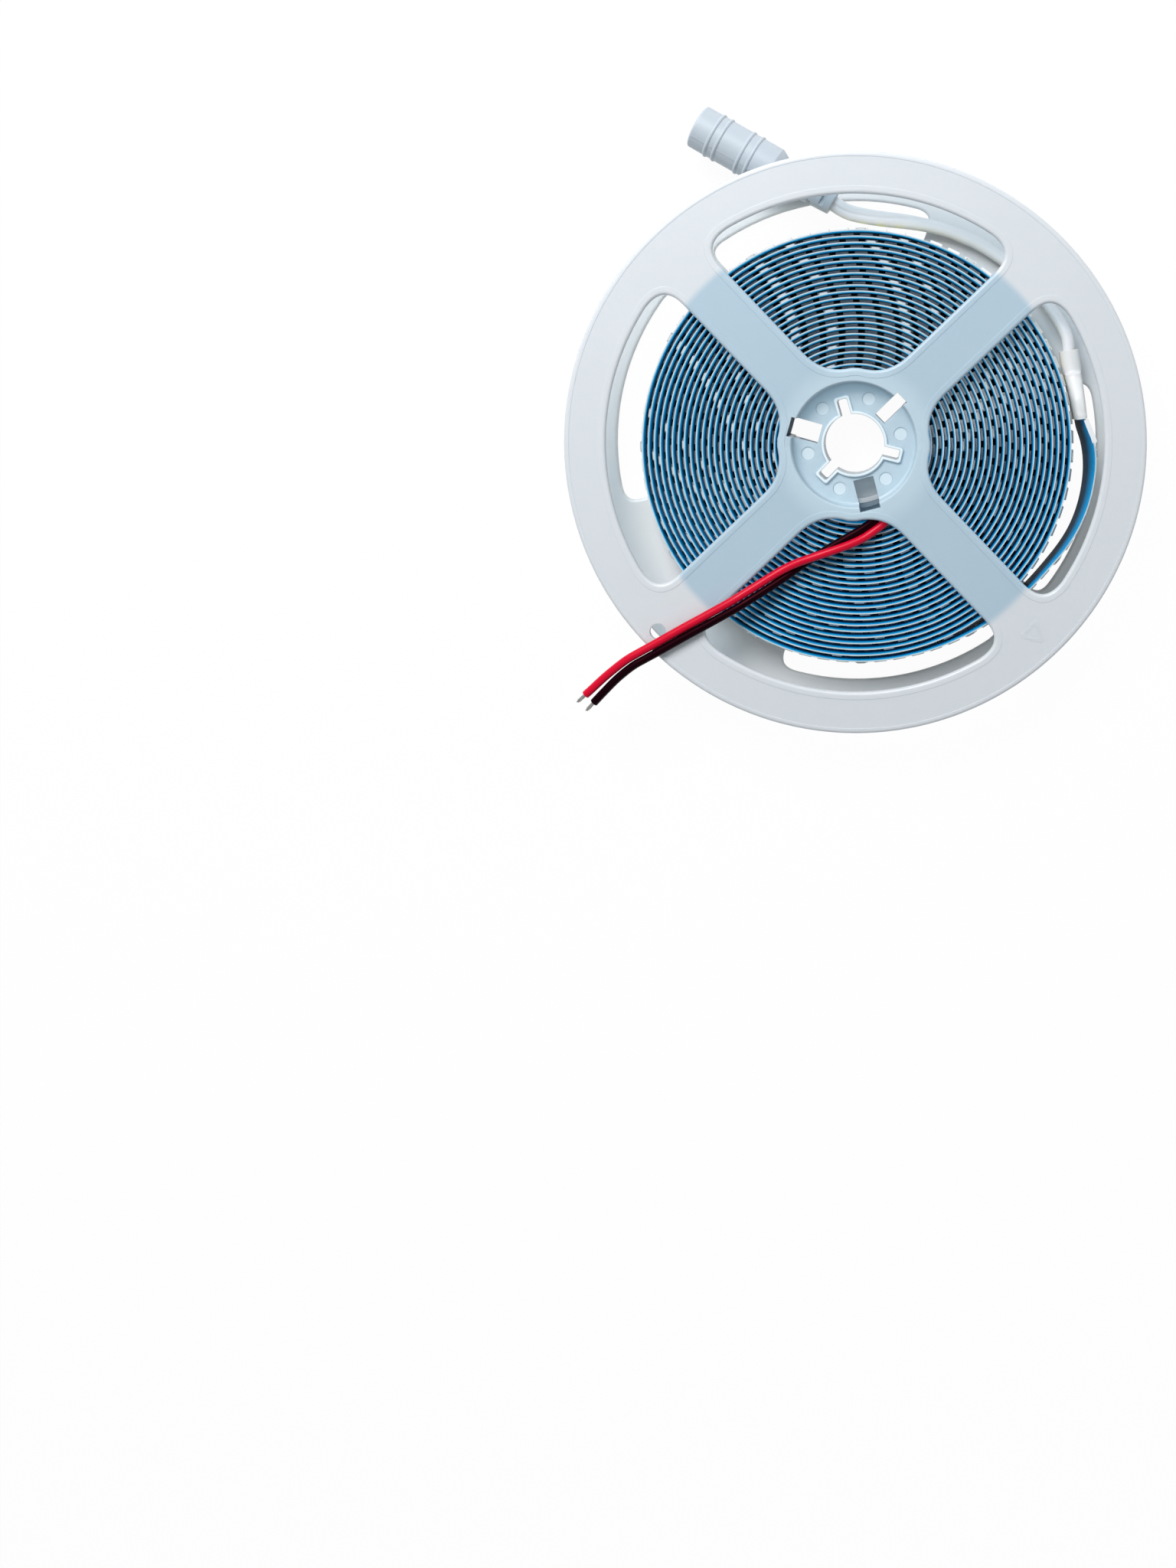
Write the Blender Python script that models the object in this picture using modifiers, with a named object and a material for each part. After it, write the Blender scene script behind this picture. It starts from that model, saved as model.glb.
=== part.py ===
"""A reel of LED strip light: two moulded flange halves that plug together at the hub, the strip wound between
them, and the strip's two cables, one to a round power socket and one a pair of bare leads.

The reel lies on its rear half with its axis up. The origin is the centre of the rear face.
"""

import math

import bmesh
import bpy
from mathutils import Matrix, Vector

MM = 0.001

# Clearances between neighbours.
SEAT = 0.3 * MM
LAY = 0.2 * MM
CUT_PAST = 1.0 * MM

# The hub: a sunk cup in each half, with a keyed bore and three snap slots.
BARREL_R = 14.4 * MM
BARREL_WALL = 0.9 * MM
RECESS_R = BARREL_R - BARREL_WALL
RECESS_DEPTH = 4.5 * MM
RECESS_LIP = 0.8 * MM
RECESS_FOOT = 0.5 * MM
# The lip's worn edge: (share of it outwards, share of it downwards).
LIP_STEPS = ((1.0, -0.1), (0.4, 0.25), (0.0, 1.0))
FLOOR = 1.2 * MM
BORE_R = 6.6 * MM
KEY_DEEP = 3.5 * MM
KEY_WIDTH = 2.2 * MM
KEY_TURN = 105.9
COLLAR_WALL = 0.7 * MM
COLLAR_RISE = 0.6 * MM
SPIGOT_WALL = 1.0 * MM
SNAP_TURN = 44.4
SNAP_WIDTHS = (2.9 * MM, 4.3 * MM, 4.5 * MM)
SNAP_FROM_BORE = 1.2 * MM
SNAP_PAST_BARREL = 0.2 * MM

# The two flange plates.
FLANGE_R = 63.0 * MM
PLATE = 1.6 * MM
EDGE_ROUND = 0.7 * MM
RING_WIDE = 9.1 * MM
HUB_LAND = 2.2 * MM
WINDOW_OUTER_R = FLANGE_R - RING_WIDE
WINDOW_INNER_R = BARREL_R + HUB_LAND
SPOKE_WIDTH = 11.5 * MM
SPOKE_TURN = 43.7
WINDOW_OUTER_CORNER = 6.6 * MM
WINDOW_INNER_CORNER = 5.8 * MM
REAR_WINDOW_OUTER_CORNER = 3.6 * MM
REAR_WEB_TURN = 43.1
REAR_WEB_ANGLE = 56.4
WIRE_HOLE_R = 1.8 * MM
WIRE_HOLE_FROM_RIM = 4.2 * MM

# The strip and the way it is wound.
STRIP_WIDTH = 10.0 * MM
STRIP_THICK = 0.45 * MM
LED_LONG = 3.5 * MM
LED_SHORT = 2.8 * MM
LED_HIGH = 0.8 * MM
LED_PITCH = 4.167 * MM
LED_SUNK = 0.15 * MM
TURN_SLACK = 0.066 * MM
ROLL_HUB_GAP = 1.345 * MM
ROLL_START = 330.0
ROLL_TURNS = 23.875
TURN_SAG = 0.19 * MM
# The roll is loose on the hub and has slid to one side of it.
ROLL_SHIFT = Vector((0.67 * MM, -0.36 * MM))
# The loose outer end: (degrees past where it leaves the roll, distance out at its foot, lean of its top edge).
TAIL_ROUTE = (
    (0, 0.0 * MM, 0.0 * MM),
    (15, 0.35 * MM, 0.0 * MM),
    (28, 1.0 * MM, 0.0 * MM),
    (36, 1.45 * MM, 0.0 * MM),
    (43, 2.0 * MM, 0.1 * MM),
    (49, 2.75 * MM, 0.3 * MM),
    (54, 3.25 * MM, 0.45 * MM),
    (60, 3.42 * MM, 0.75 * MM),
    (66, 3.25 * MM, 1.05 * MM),
    (71, 2.85 * MM, 1.35 * MM),
    (75.5, 2.15 * MM, 1.5 * MM),
    (79.5, 1.2 * MM, 1.25 * MM),
    (83.0, 0.96 * MM, 0.7 * MM),
)
TAIL_STEP = 4.2
TAIL_LIFT = 0.6 * MM

# The room between the flanges: the strip, and a lead that crosses over it.
LEAD_D = 1.8 * MM
FLANGE_GAP = STRIP_WIDTH + SEAT + LEAD_D + LAY
REEL_HIGH = 2 * PLATE + FLANGE_GAP
ROLL_Z = PLATE + SEAT

# The heat-shrink sleeve over the joint of strip and cable: flat and tall on the strip, round at its mouth.
SLEEVE_LENGTH = 13.9 * MM
SLEEVE_WALL = 0.35 * MM
SLEEVE_TALL = STRIP_WIDTH + 2 * SLEEVE_WALL
SLEEVE_BASE_Z = ROLL_Z + TAIL_LIFT + STRIP_WIDTH / 2
SLEEVE_MOUTH_D = 4.3 * MM
SLEEVE_MOUTH_Z = 6.6 * MM
SLEEVE_WAIST_Z = (SLEEVE_BASE_Z + SLEEVE_MOUTH_Z) / 2
SLEEVE_PAST_STRIP = 0.85 * MM
SLEEVE_TURN = 99.1
SLEEVE_SIDES = 18
# Its sections: (share of its length, width, height, height of its middle, squareness of its corners).
SLEEVE_SECTIONS = (
    (0.0, 2.7 * MM, SLEEVE_TALL, SLEEVE_BASE_Z, 4.0),
    (0.22, 3.0 * MM, SLEEVE_TALL - SLEEVE_WALL, SLEEVE_BASE_Z, 3.6),
    (0.45, 3.5 * MM, 8.5 * MM, SLEEVE_WAIST_Z, 3.0),
    (0.62, 3.6 * MM, 6.4 * MM, SLEEVE_WAIST_Z, 2.4),
    (0.68, 4.2 * MM, 5.2 * MM, SLEEVE_MOUTH_Z, 2.1),
    (1.0, SLEEVE_MOUTH_D, SLEEVE_MOUTH_D, SLEEVE_MOUTH_Z, 2.0),
)

# The power cable and the socket moulded on its end.
CABLE_D = 3.4 * MM
SOCKET_R = 4.85 * MM
SOCKET_LENGTH = 19.4 * MM
SOCKET_TURN = 150.3
SOCKET_TAPER = 2.3 * MM
SOCKET_EDGE = 0.5 * MM
RING_PLACES = (4.4 * MM, 6.4 * MM, 12.0 * MM, 14.2 * MM)
RING_RISE = 0.28 * MM
RING_HALF = 0.45 * MM
RELIEF_LENGTH = 12.6 * MM
RELIEF_R = 3.15 * MM
RELIEF_END_R = 2.65 * MM
RELIEF_CORE_R = 1.95 * MM
RELIEF_SLOTS = 4
RELIEF_SLOT = 1.1 * MM
RELIEF_END_X = -4.8 * MM
RELIEF_END_Y = 52.7 * MM
LINER_R = 3.9 * MM
LINER_DEPTH = 10.5 * MM
JACK_R = 2.9 * MM
JACK_DEPTH = 9.3 * MM
PIN_R = 1.0 * MM
PIN_SHORT = 1.2 * MM
PIN_TIP = 0.45 * MM
CONTACT_WIDE = 1.4 * MM
CONTACT_THICK = 0.3 * MM
CONTACT_LENGTH = 7.5 * MM

# The power cable's route between its straight ends, from the socket to the sleeve.
CABLE_MID_ROUTE = (
    (2.3 * MM, 49.9 * MM, 6.7 * MM),
    (6.4 * MM, 49.35 * MM, 5.95 * MM),
    (10.5 * MM, 48.95 * MM, 5.0 * MM),
    (14.1 * MM, 48.45 * MM, 4.3 * MM),
    (17.5 * MM, 47.75 * MM, 3.9 * MM),
    (20.9 * MM, 46.8 * MM, 3.7 * MM),
    (24.3 * MM, 45.45 * MM, 3.62 * MM),
    (27.7 * MM, 43.9 * MM, 3.6 * MM),
    (32.7 * MM, 40.7 * MM, 3.65 * MM),
    (38.4 * MM, 35.95 * MM, 4.1 * MM),
    (42.9 * MM, 30.2 * MM, 5.1 * MM),
)

# The bare leads. They leave the strip's inner end beside the hub: (distance out from the hub, degrees, height).
RED_START = (
    (1.8 * MM, 326.0, 10.2 * MM),
    (1.7 * MM, 319.0, 11.4 * MM),
    (1.6 * MM, 312.0, 12.5 * MM),
    (1.9 * MM, 306.0, 12.9 * MM),
    (2.8 * MM, 298.5, 12.9 * MM),
    (3.95 * MM, 291.0, 12.9 * MM),
)
BLACK_START = (
    (1.8 * MM, 326.0, 8.0 * MM),
    (1.6 * MM, 318.0, 8.8 * MM),
    (1.3 * MM, 310.0, 9.9 * MM),
    (1.05 * MM, 302.0, 11.2 * MM),
    (1.1 * MM, 294.5, 12.4 * MM),
    (1.8 * MM, 289.0, 12.88 * MM),
)
# As a pair they cross over the roll, rise through a window and run out along the front half:
# (x, y, height, degrees by which the red one is turned up from the pair's left side and over the black one).
PAIR_ROUTE = (
    (4.93 * MM, -17.32 * MM, 12.9 * MM, 180),
    (1.88 * MM, -19.48 * MM, 13.15 * MM, 165),
    (-0.89 * MM, -20.93 * MM, 13.45 * MM, 145),
    (-3.67 * MM, -22.23 * MM, 13.7 * MM, 122),
    (-6.43 * MM, -23.5 * MM, 13.84 * MM, 100),
    (-8.67 * MM, -24.54 * MM, 13.85 * MM, 84),
    (-12.01 * MM, -26.22 * MM, 13.75 * MM, 55),
    (-14.77 * MM, -27.84 * MM, 13.95 * MM, 30),
    (-17.52 * MM, -29.54 * MM, 14.6 * MM, 14),
    (-20.25 * MM, -31.24 * MM, 15.4 * MM, 8),
    (-23.5 * MM, -33.21 * MM, 16.3 * MM, 6),
    (-26.22 * MM, -34.87 * MM, 16.6 * MM, 6),
    (-31.8 * MM, -37.99 * MM, 16.6 * MM, 6),
    (-37.36 * MM, -41.05 * MM, 16.6 * MM, 6),
    (-42.94 * MM, -44.24 * MM, 16.6 * MM, 6),
    (-45.74 * MM, -45.78 * MM, 16.6 * MM, 6),
    (-48.55 * MM, -47.4 * MM, 16.6 * MM, 4),
)
PAIR_APART = 0.1 * MM
PAIR_SIDE = (LEAD_D + PAIR_APART) / 2
# Past the pair's end they part.
RED_END = (
    (-51.36 * MM, -48.31 * MM, 16.5 * MM),
    (-54.21 * MM, -50.67 * MM, 16.3 * MM),
    (-57.1 * MM, -53.36 * MM, 16.0 * MM),
    (-58.55 * MM, -54.68 * MM, 15.8 * MM),
)
BLACK_END = (
    (-51.39 * MM, -50.9 * MM, 16.4 * MM),
    (-54.28 * MM, -53.8 * MM, 16.1 * MM),
    (-56.76 * MM, -56.43 * MM, 15.7 * MM),
)
LEAD_TIP_D = 0.9 * MM
LEAD_TIP_END_D = 0.54 * MM
LEAD_TIP_TAPER = 0.9 * MM
LEAD_TIP_LENGTH = 2.9 * MM

# How finely round things are drawn.
RIM_SIDES = 64
HUB_SIDES = 36
CABLE_STEP = 2.0
SOCKET_SIDES = 24


def polar(radius, degrees):
    """The point this far out, at this angle from +X."""
    return Vector((radius * math.cos(math.radians(degrees)), radius * math.sin(math.radians(degrees))))


def new_collection(name):
    made = bpy.data.collections.new(name)
    bpy.context.scene.collection.children.link(made)
    return made


def new_material(name, colour, roughness, metallic=0.0):
    made = bpy.data.materials.new(name)
    made.use_nodes = True
    shader = made.node_tree.nodes["Principled BSDF"]
    shader.inputs["Base Color"].default_value = (*colour, 1.0)
    shader.inputs["Roughness"].default_value = roughness
    shader.inputs["Metallic"].default_value = metallic
    return made


def add_part(name, mesh, finish):
    """A named sub-part that holds this mesh or curve."""
    made = bpy.data.objects.new(name, mesh)
    mesh.materials.append(finish)
    parts.objects.link(made)
    return made


def add_cutter(name, mesh):
    """A helper for a Boolean, which is left out of renders."""
    made = bpy.data.objects.new(name, mesh)
    made.hide_render = True
    made.display_type = "WIRE"
    cutters.objects.link(made)
    return made


def boolean(target, helper, operation):
    """Cuts or joins the helper with an exact Boolean."""
    step = target.modifiers.new(f"{operation.lower()} {helper.name}", "BOOLEAN")
    step.operation = operation
    step.solver = "EXACT"
    step.object = helper


def flat_outline(name, loops, low, high, rounding=0.0):
    """A mesh of the area inside the first loop and outside the others, from low to high, with rounded edges."""
    curve = bpy.data.curves.new(name, "CURVE")
    curve.dimensions = "2D"
    curve.fill_mode = "BOTH"
    curve.extrude = (high - low) / 2 - rounding
    curve.bevel_depth = rounding
    curve.bevel_resolution = 1
    for loop in loops:
        spline = curve.splines.new("POLY")
        spline.points.add(len(loop) - 1)
        for point, place in zip(spline.points, loop):
            point.co = (place.x, place.y, 0.0, 1.0)
        spline.use_cyclic_u = True
    guide = bpy.data.objects.new(name, curve)
    bpy.context.scene.collection.objects.link(guide)
    mesh = mesh_of(guide)
    mesh.transform(Matrix.Translation((0, 0, (low + high) / 2)))
    bpy.data.objects.remove(guide)
    return mesh


def mesh_of(curve_object):
    """The evaluated mesh of a curve object, with its caps welded to its sides."""
    bpy.context.view_layer.update()
    graph = bpy.context.evaluated_depsgraph_get()
    mesh = bpy.data.meshes.new_from_object(curve_object.evaluated_get(graph))
    work = bmesh.new()
    work.from_mesh(mesh)
    bmesh.ops.remove_doubles(work, verts=work.verts, dist=0.001 * MM)
    bmesh.ops.recalc_face_normals(work, faces=work.faces)
    work.to_mesh(mesh)
    work.free()
    return mesh


def turned(name, profile, sides):
    """A mesh turned about +Z from (radius, height) points that run from the axis out, down and back to it."""
    if profile[0][1] < profile[-1][1]:
        profile = profile[::-1]
    outline = bpy.data.meshes.new(name)
    outline.from_pydata([(r, 0, z) for r, z in profile], [(i, i + 1) for i in range(len(profile) - 1)], [])
    guide = bpy.data.objects.new(name, outline)
    bpy.context.scene.collection.objects.link(guide)
    screw = guide.modifiers.new("turn", "SCREW")
    screw.steps = sides
    screw.render_steps = sides
    screw.use_merge_vertices = True
    screw.merge_threshold = 0.001 * MM
    mesh = mesh_of(guide)
    bpy.data.objects.remove(guide)
    return mesh


def box(name, low, high, turn=0.0):
    """A box mesh between two corners, turned about +Z."""
    mesh = bpy.data.meshes.new(name)
    work = bmesh.new()
    middle = [(a + b) / 2 for a, b in zip(low, high)]
    size = [b - a for a, b in zip(low, high)]
    place = Matrix.Rotation(math.radians(turn), 4, "Z") @ Matrix.Translation(middle) @ Matrix.Diagonal((*size, 1))
    bmesh.ops.create_cube(work, size=1.0, matrix=place)
    work.to_mesh(mesh)
    work.free()
    return mesh


def circle_loop(radius, sides, centre=Vector((0, 0))):
    return [centre + polar(radius, 360 * i / sides) for i in range(sides)]


def corner_points(before, corner, after, steps=4):
    """A rounded corner, as a parabola between two points that is drawn towards the sharp corner."""
    points = []
    for i in range(1, steps):
        t = i / steps
        points.append(before * (1 - t) ** 2 + corner * 2 * t * (1 - t) + after * t**2)
    return points


def window_loop(side_a, side_b, outer_corner, grow):
    """A window between two straight sides, each an (angle, offset) line beside a ray from the axis.

    grow moves every edge outwards from the window's middle, which leaves room for the plate's rounded edge.
    """
    outer_r = WINDOW_OUTER_R + grow
    inner_r = WINDOW_INNER_R - grow
    offsets = (side_a[1] - grow, side_b[1] + grow)

    def at(side, radius):
        angle = (side_a, side_b)[side][0]
        return polar(radius, angle + math.degrees(math.asin(offsets[side] / radius)))

    def along_side(side, radius, cut):
        return at(side, radius + cut)

    def along_arc(side, radius, cut):
        corner = at(side, radius)
        turn = math.degrees(cut / radius) * (1 if side == 0 else -1)
        return polar(radius, math.degrees(math.atan2(corner.y, corner.x)) + turn)

    def arc(radius, start, end, steps):
        first = math.degrees(math.atan2(start.y, start.x))
        sweep = (math.degrees(math.atan2(end.y, end.x)) - first + 180) % 360 - 180
        return [polar(radius, first + sweep * i / steps) for i in range(steps + 1)]

    outer_cut = outer_corner + grow
    inner_cut = WINDOW_INNER_CORNER + grow
    loop = arc(outer_r, along_arc(0, outer_r, outer_cut), along_arc(1, outer_r, outer_cut), 10)
    turn_in = along_side(1, outer_r, -outer_cut)
    loop += corner_points(loop[-1], at(1, outer_r), turn_in) + [turn_in]
    turn_in = along_side(1, inner_r, inner_cut)
    inner_arc = arc(inner_r, along_arc(1, inner_r, inner_cut), along_arc(0, inner_r, inner_cut), 3)
    loop += [turn_in] + corner_points(turn_in, at(1, inner_r), inner_arc[0]) + inner_arc
    turn_out = along_side(0, inner_r, inner_cut)
    loop += corner_points(inner_arc[-1], at(0, inner_r), turn_out) + [turn_out]
    turn_out = along_side(0, outer_r, -outer_cut)
    loop += [turn_out] + corner_points(turn_out, at(0, outer_r), loop[0])
    return loop


def front_windows(grow):
    """Four like windows between four spokes."""
    half = SPOKE_WIDTH / 2
    loops = []
    for i in range(4):
        turn = SPOKE_TURN + 90 * i
        loops.append(window_loop((turn, half), (turn + 90, -half), WINDOW_OUTER_CORNER, grow))
    return loops


def rear_windows(grow):
    """Four windows between two spokes and two wide webs."""
    half = SPOKE_WIDTH / 2
    loops = []
    for i in range(2):
        web = REAR_WEB_TURN + 180 * i
        spoke = SPOKE_TURN + 90 + 180 * i
        after_web = (web + REAR_WEB_ANGLE / 2, 0.0)
        before_web = (web + 180 - REAR_WEB_ANGLE / 2, 0.0)
        loops.append(window_loop(after_web, (spoke, -half), REAR_WINDOW_OUTER_CORNER, grow))
        loops.append(window_loop((spoke, half), before_web, REAR_WINDOW_OUTER_CORNER, grow))
    return loops


def keyed_loop(grow):
    """The bore's outline: a circle with three key slots. grow moves it outwards all round."""
    radius = BORE_R + grow
    half = KEY_WIDTH / 2 + grow
    end = BORE_R + KEY_DEEP + grow
    foot = math.degrees(math.asin(half / radius))
    loop = []
    for i in range(3):
        turn = KEY_TURN + 120 * i
        along = polar(1.0, turn)
        across = polar(1.0, turn + 90)
        loop += [polar(radius, turn - foot), along * end - across * half, along * end + across * half]
        steps = 7
        sweep = 120 - 2 * foot
        loop += [polar(radius, turn + foot + sweep * j / steps) for j in range(steps)]
    return loop


def flange_half(name, windows, rear):
    """One moulded half: its windowed plate, its sunk hub cup, its keyed collar and its snap slots."""

    def z_at(depth):
        return depth if rear else REEL_HIGH - depth

    def span(depth_a, depth_b):
        return tuple(sorted((z_at(depth_a), z_at(depth_b))))

    low, high = span(0.0, PLATE)
    rim = circle_loop(FLANGE_R - EDGE_ROUND, RIM_SIDES)
    half = add_part(name, flat_outline(name, [rim, *windows(EDGE_ROUND)], low, high, EDGE_ROUND), shell_finish)

    barrel_end = REEL_HIGH / 2 - SEAT / 2
    barrel = [(0, z_at(PLATE / 2)), (BARREL_R, z_at(PLATE / 2)), (BARREL_R, z_at(barrel_end)), (0, z_at(barrel_end))]
    boolean(half, add_cutter(f"{name}_barrel", turned(f"{name}_barrel", barrel, HUB_SIDES)), "UNION")

    recess = [(0, z_at(-CUT_PAST)), (RECESS_R + RECESS_LIP, z_at(-CUT_PAST))]
    for out, down in LIP_STEPS:
        recess.append((RECESS_R + RECESS_LIP * out, z_at(RECESS_LIP * down)))
    recess += [
        (RECESS_R, z_at(RECESS_DEPTH - RECESS_FOOT)),
        (RECESS_R - RECESS_FOOT, z_at(RECESS_DEPTH)),
        (0, z_at(RECESS_DEPTH)),
    ]
    boolean(half, add_cutter(f"{name}_recess", turned(f"{name}_recess", recess, HUB_SIDES)), "DIFFERENCE")

    under = RECESS_DEPTH + FLOOR
    skirt = [(0, z_at(under)), (RECESS_R, z_at(under)), (RECESS_R, z_at(barrel_end + CUT_PAST))]
    skirt.append((0, z_at(barrel_end + CUT_PAST)))
    boolean(half, add_cutter(f"{name}_skirt", turned(f"{name}_skirt", skirt, HUB_SIDES)), "DIFFERENCE")

    if rear:
        add_spigot(half, under)

    low, high = span(RECESS_DEPTH - COLLAR_RISE, barrel_end)
    collar = flat_outline(f"{name}_collar", [keyed_loop(COLLAR_WALL)], low, high)
    boolean(half, add_cutter(f"{name}_collar", collar), "UNION")
    low, high = span(-CUT_PAST, REEL_HIGH / 2 + CUT_PAST)
    boolean(half, add_cutter(f"{name}_bore", flat_outline(f"{name}_bore", [keyed_loop(0.0)], low, high)), "DIFFERENCE")

    slot_low, slot_high = span(-CUT_PAST, REEL_HIGH - under - SEAT + CUT_PAST)
    slots = range(2) if rear else range(3)
    for i in slots:
        corner_low = (BORE_R + SNAP_FROM_BORE, -SNAP_WIDTHS[i] / 2, slot_low)
        corner_high = (BARREL_R + SNAP_PAST_BARREL, SNAP_WIDTHS[i] / 2, slot_high)
        slot = box(f"{name}_snap_{i}", corner_low, corner_high, SNAP_TURN + 120 * i)
        boolean(half, add_cutter(f"{name}_snap_{i}", slot), "DIFFERENCE")
    return half


def add_spigot(half, under):
    """The rear half's ring, which plugs into the front half's skirt."""
    outer = RECESS_R - SEAT
    inner = outer - SPIGOT_WALL
    top = REEL_HIGH - under - SEAT
    ring = [(inner, under - FLOOR / 2), (inner, top), (outer, top), (outer, under - FLOOR / 2)]
    ring.append(ring[0])
    mesh = turned_ring("rear_spigot", ring, HUB_SIDES)
    boolean(half, add_cutter("rear_spigot", mesh), "UNION")


def turned_ring(name, profile, sides):
    """A mesh turned about +Z from a closed (radius, height) profile that stays off the axis."""
    outline = bpy.data.meshes.new(name)
    points = [(r, 0, z) for r, z in profile[:-1]]
    count = len(points)
    outline.from_pydata(points, [(i, (i + 1) % count) for i in range(count)], [])
    guide = bpy.data.objects.new(name, outline)
    bpy.context.scene.collection.objects.link(guide)
    screw = guide.modifiers.new("turn", "SCREW")
    screw.steps = sides
    screw.render_steps = sides
    screw.use_merge_vertices = True
    screw.merge_threshold = 0.001 * MM
    mesh = mesh_of(guide)
    bpy.data.objects.remove(guide)
    return mesh


def front_half():
    half = flange_half("front_flange", front_windows, rear=False)
    centre = polar(FLANGE_R - WIRE_HOLE_FROM_RIM, SPOKE_TURN + 180)
    loop = circle_loop(WIRE_HOLE_R, 14, centre)
    mesh = flat_outline("wire_hole", [loop], REEL_HIGH - PLATE - CUT_PAST, REEL_HIGH + CUT_PAST)
    boolean(half, add_cutter("wire_hole", mesh), "DIFFERENCE")


def rear_half():
    flange_half("rear_flange", rear_windows, rear=True)


def smooth_through(points, samples):
    """Points along a Catmull-Rom curve through the given ones."""
    ends = [points[0] * 2 - points[1]] + list(points) + [points[-1] * 2 - points[-2]]
    found = []
    for i in range(1, len(ends) - 2):
        a, b, c, d = ends[i - 1 : i + 3]
        for j in range(samples):
            t = j / samples
            found.append(
                0.5 * (2 * b + (c - a) * t + (2 * a - 5 * b + 4 * c - d) * t**2 + (3 * b - a - 3 * c + d) * t**3)
            )
    found.append(ends[-2].copy())
    return found


def spaced(points, step):
    """The same curve with even steps of about this length."""
    return spaced_like(points, points, step)


def spaced_like(points, values, step):
    """Values that go with the points of a curve, read off at even steps of about this length along it."""
    lengths = [0.0]
    for a, b in zip(points, points[1:]):
        lengths.append(lengths[-1] + (b - a).length)
    count = max(2, round(lengths[-1] / step))
    found = []
    i = 0
    for k in range(count + 1):
        want = lengths[-1] * k / count
        while i < len(points) - 2 and lengths[i + 1] < want:
            i += 1
        share = (want - lengths[i]) / (lengths[i + 1] - lengths[i])
        found.append(values[i].lerp(values[i + 1], min(max(share, 0.0), 1.0)))
    return found


def turn_pitch():
    """What one turn adds to the roll's radius: the strip, the lamps on it and a little slack."""
    return STRIP_THICK + LED_HIGH + TURN_SLACK


def roll_radius(turned_by):
    """Radius of the strip's inner face about the roll's own middle, this many degrees round from its inner end."""
    return BARREL_R + ROLL_HUB_GAP + turn_pitch() * turned_by / 360


def roll_place(radius, angle):
    """The point this far out from the roll's own middle, at this angle."""
    return ROLL_SHIFT + polar(radius, angle)


def roll_stations():
    """(angle, radius, lean) of the strip's inner face from the hub to the loose end, with steps of even sag."""
    stations = []
    turned_by = 0.0
    last = ROLL_TURNS * 360
    while turned_by < last:
        radius = roll_radius(turned_by)
        stations.append((ROLL_START + turned_by, radius, 0.0))
        turned_by += math.degrees(2 * math.acos(1 - TURN_SAG / radius))
    steps = smooth_through([Vector(point) for point in TAIL_ROUTE], 8)
    count = round(TAIL_ROUTE[-1][0] / TAIL_STEP)
    for i in range(count + 1):
        past = TAIL_ROUTE[-1][0] * i / count
        out, lean = tail_at(steps, past)
        stations.append((ROLL_START + last + past, roll_radius(last + past) + out, lean))
    return stations


def tail_at(steps, degrees):
    """How far out the loose end stands, and how far its top edge leans out, this far past the roll."""
    for a, b in zip(steps, steps[1:]):
        if a.x <= degrees <= b.x:
            place = a.lerp(b, (degrees - a.x) / (b.x - a.x))
            return place.y, place.z
    return steps[-1].y, steps[-1].z


def strip_end():
    """The middle of the strip's outer end, seen from above."""
    angle, radius, lean = roll_stations()[-1]
    return roll_place(radius + (STRIP_THICK + lean) / 2, angle)


def led_strip_roll():
    """The strip as one wound ribbon, thickened outwards, with the lamps of its loose end standing on it."""
    stations = roll_stations()
    leave = ROLL_START + ROLL_TURNS * 360
    points = []
    for angle, radius, lean in stations:
        foot = roll_place(radius, angle)
        top = roll_place(radius + lean, angle)
        low = ROLL_Z + tail_lift(angle)
        points += [(foot.x, foot.y, low), (top.x, top.y, low + STRIP_WIDTH)]
    faces = [(2 * i, 2 * i + 2, 2 * i + 3, 2 * i + 1) for i in range(len(stations) - 1)]
    mesh = bpy.data.meshes.new("led_strip_roll")
    mesh.from_pydata(points, [], faces)
    roll = add_part("led_strip_roll", mesh, strip_finish)
    thick = roll.modifiers.new("strip thickness", "SOLIDIFY")
    thick.thickness = STRIP_THICK
    thick.offset = 1.0
    thick.use_even_offset = True
    boolean(roll, add_cutter("tail_lamps", tail_lamps([place for place in stations if place[0] >= leave])), "UNION")


def tail_lift(angle):
    """How far the loose end has risen from the rear plate at this angle."""
    share = max(0.0, (angle - ROLL_START - ROLL_TURNS * 360) / TAIL_ROUTE[-1][0])
    return TAIL_LIFT * share**2


def tail_lamps(tail):
    """The lamps on the loose end, one box each, sunk a little into the strip's outer face."""
    mesh = bpy.data.meshes.new("tail_lamps")
    work = bmesh.new()
    line = []
    leans = []
    for angle, radius, lean in tail:
        place = roll_place(radius + STRIP_THICK + lean / 2, angle)
        line.append(Vector((place.x, place.y, ROLL_Z + STRIP_WIDTH / 2 + tail_lift(angle))))
        leans.append(Vector((lean, 0, 0)))
    places = spaced(line, LED_PITCH)
    lean_places = spaced_like(line, leans, LED_PITCH)
    for i in range(1, len(places) - 1):
        along = (places[i + 1] - places[i - 1]).to_2d().normalized().to_3d()
        level_out = along.cross(Vector((0, 0, 1)))
        up = (level_out * lean_places[i].x + Vector((0, 0, STRIP_WIDTH))).normalized()
        out = along.cross(up)
        middle = places[i] + out * (LED_HIGH - LED_SUNK) / 2
        frame = Matrix((along, out, up)).transposed().to_4x4()
        size = Matrix.Diagonal((LED_SHORT, LED_HIGH + LED_SUNK, LED_LONG, 1))
        bmesh.ops.create_cube(work, size=1.0, matrix=Matrix.Translation(middle) @ frame @ size)
    work.to_mesh(mesh)
    work.free()
    return mesh


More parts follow.
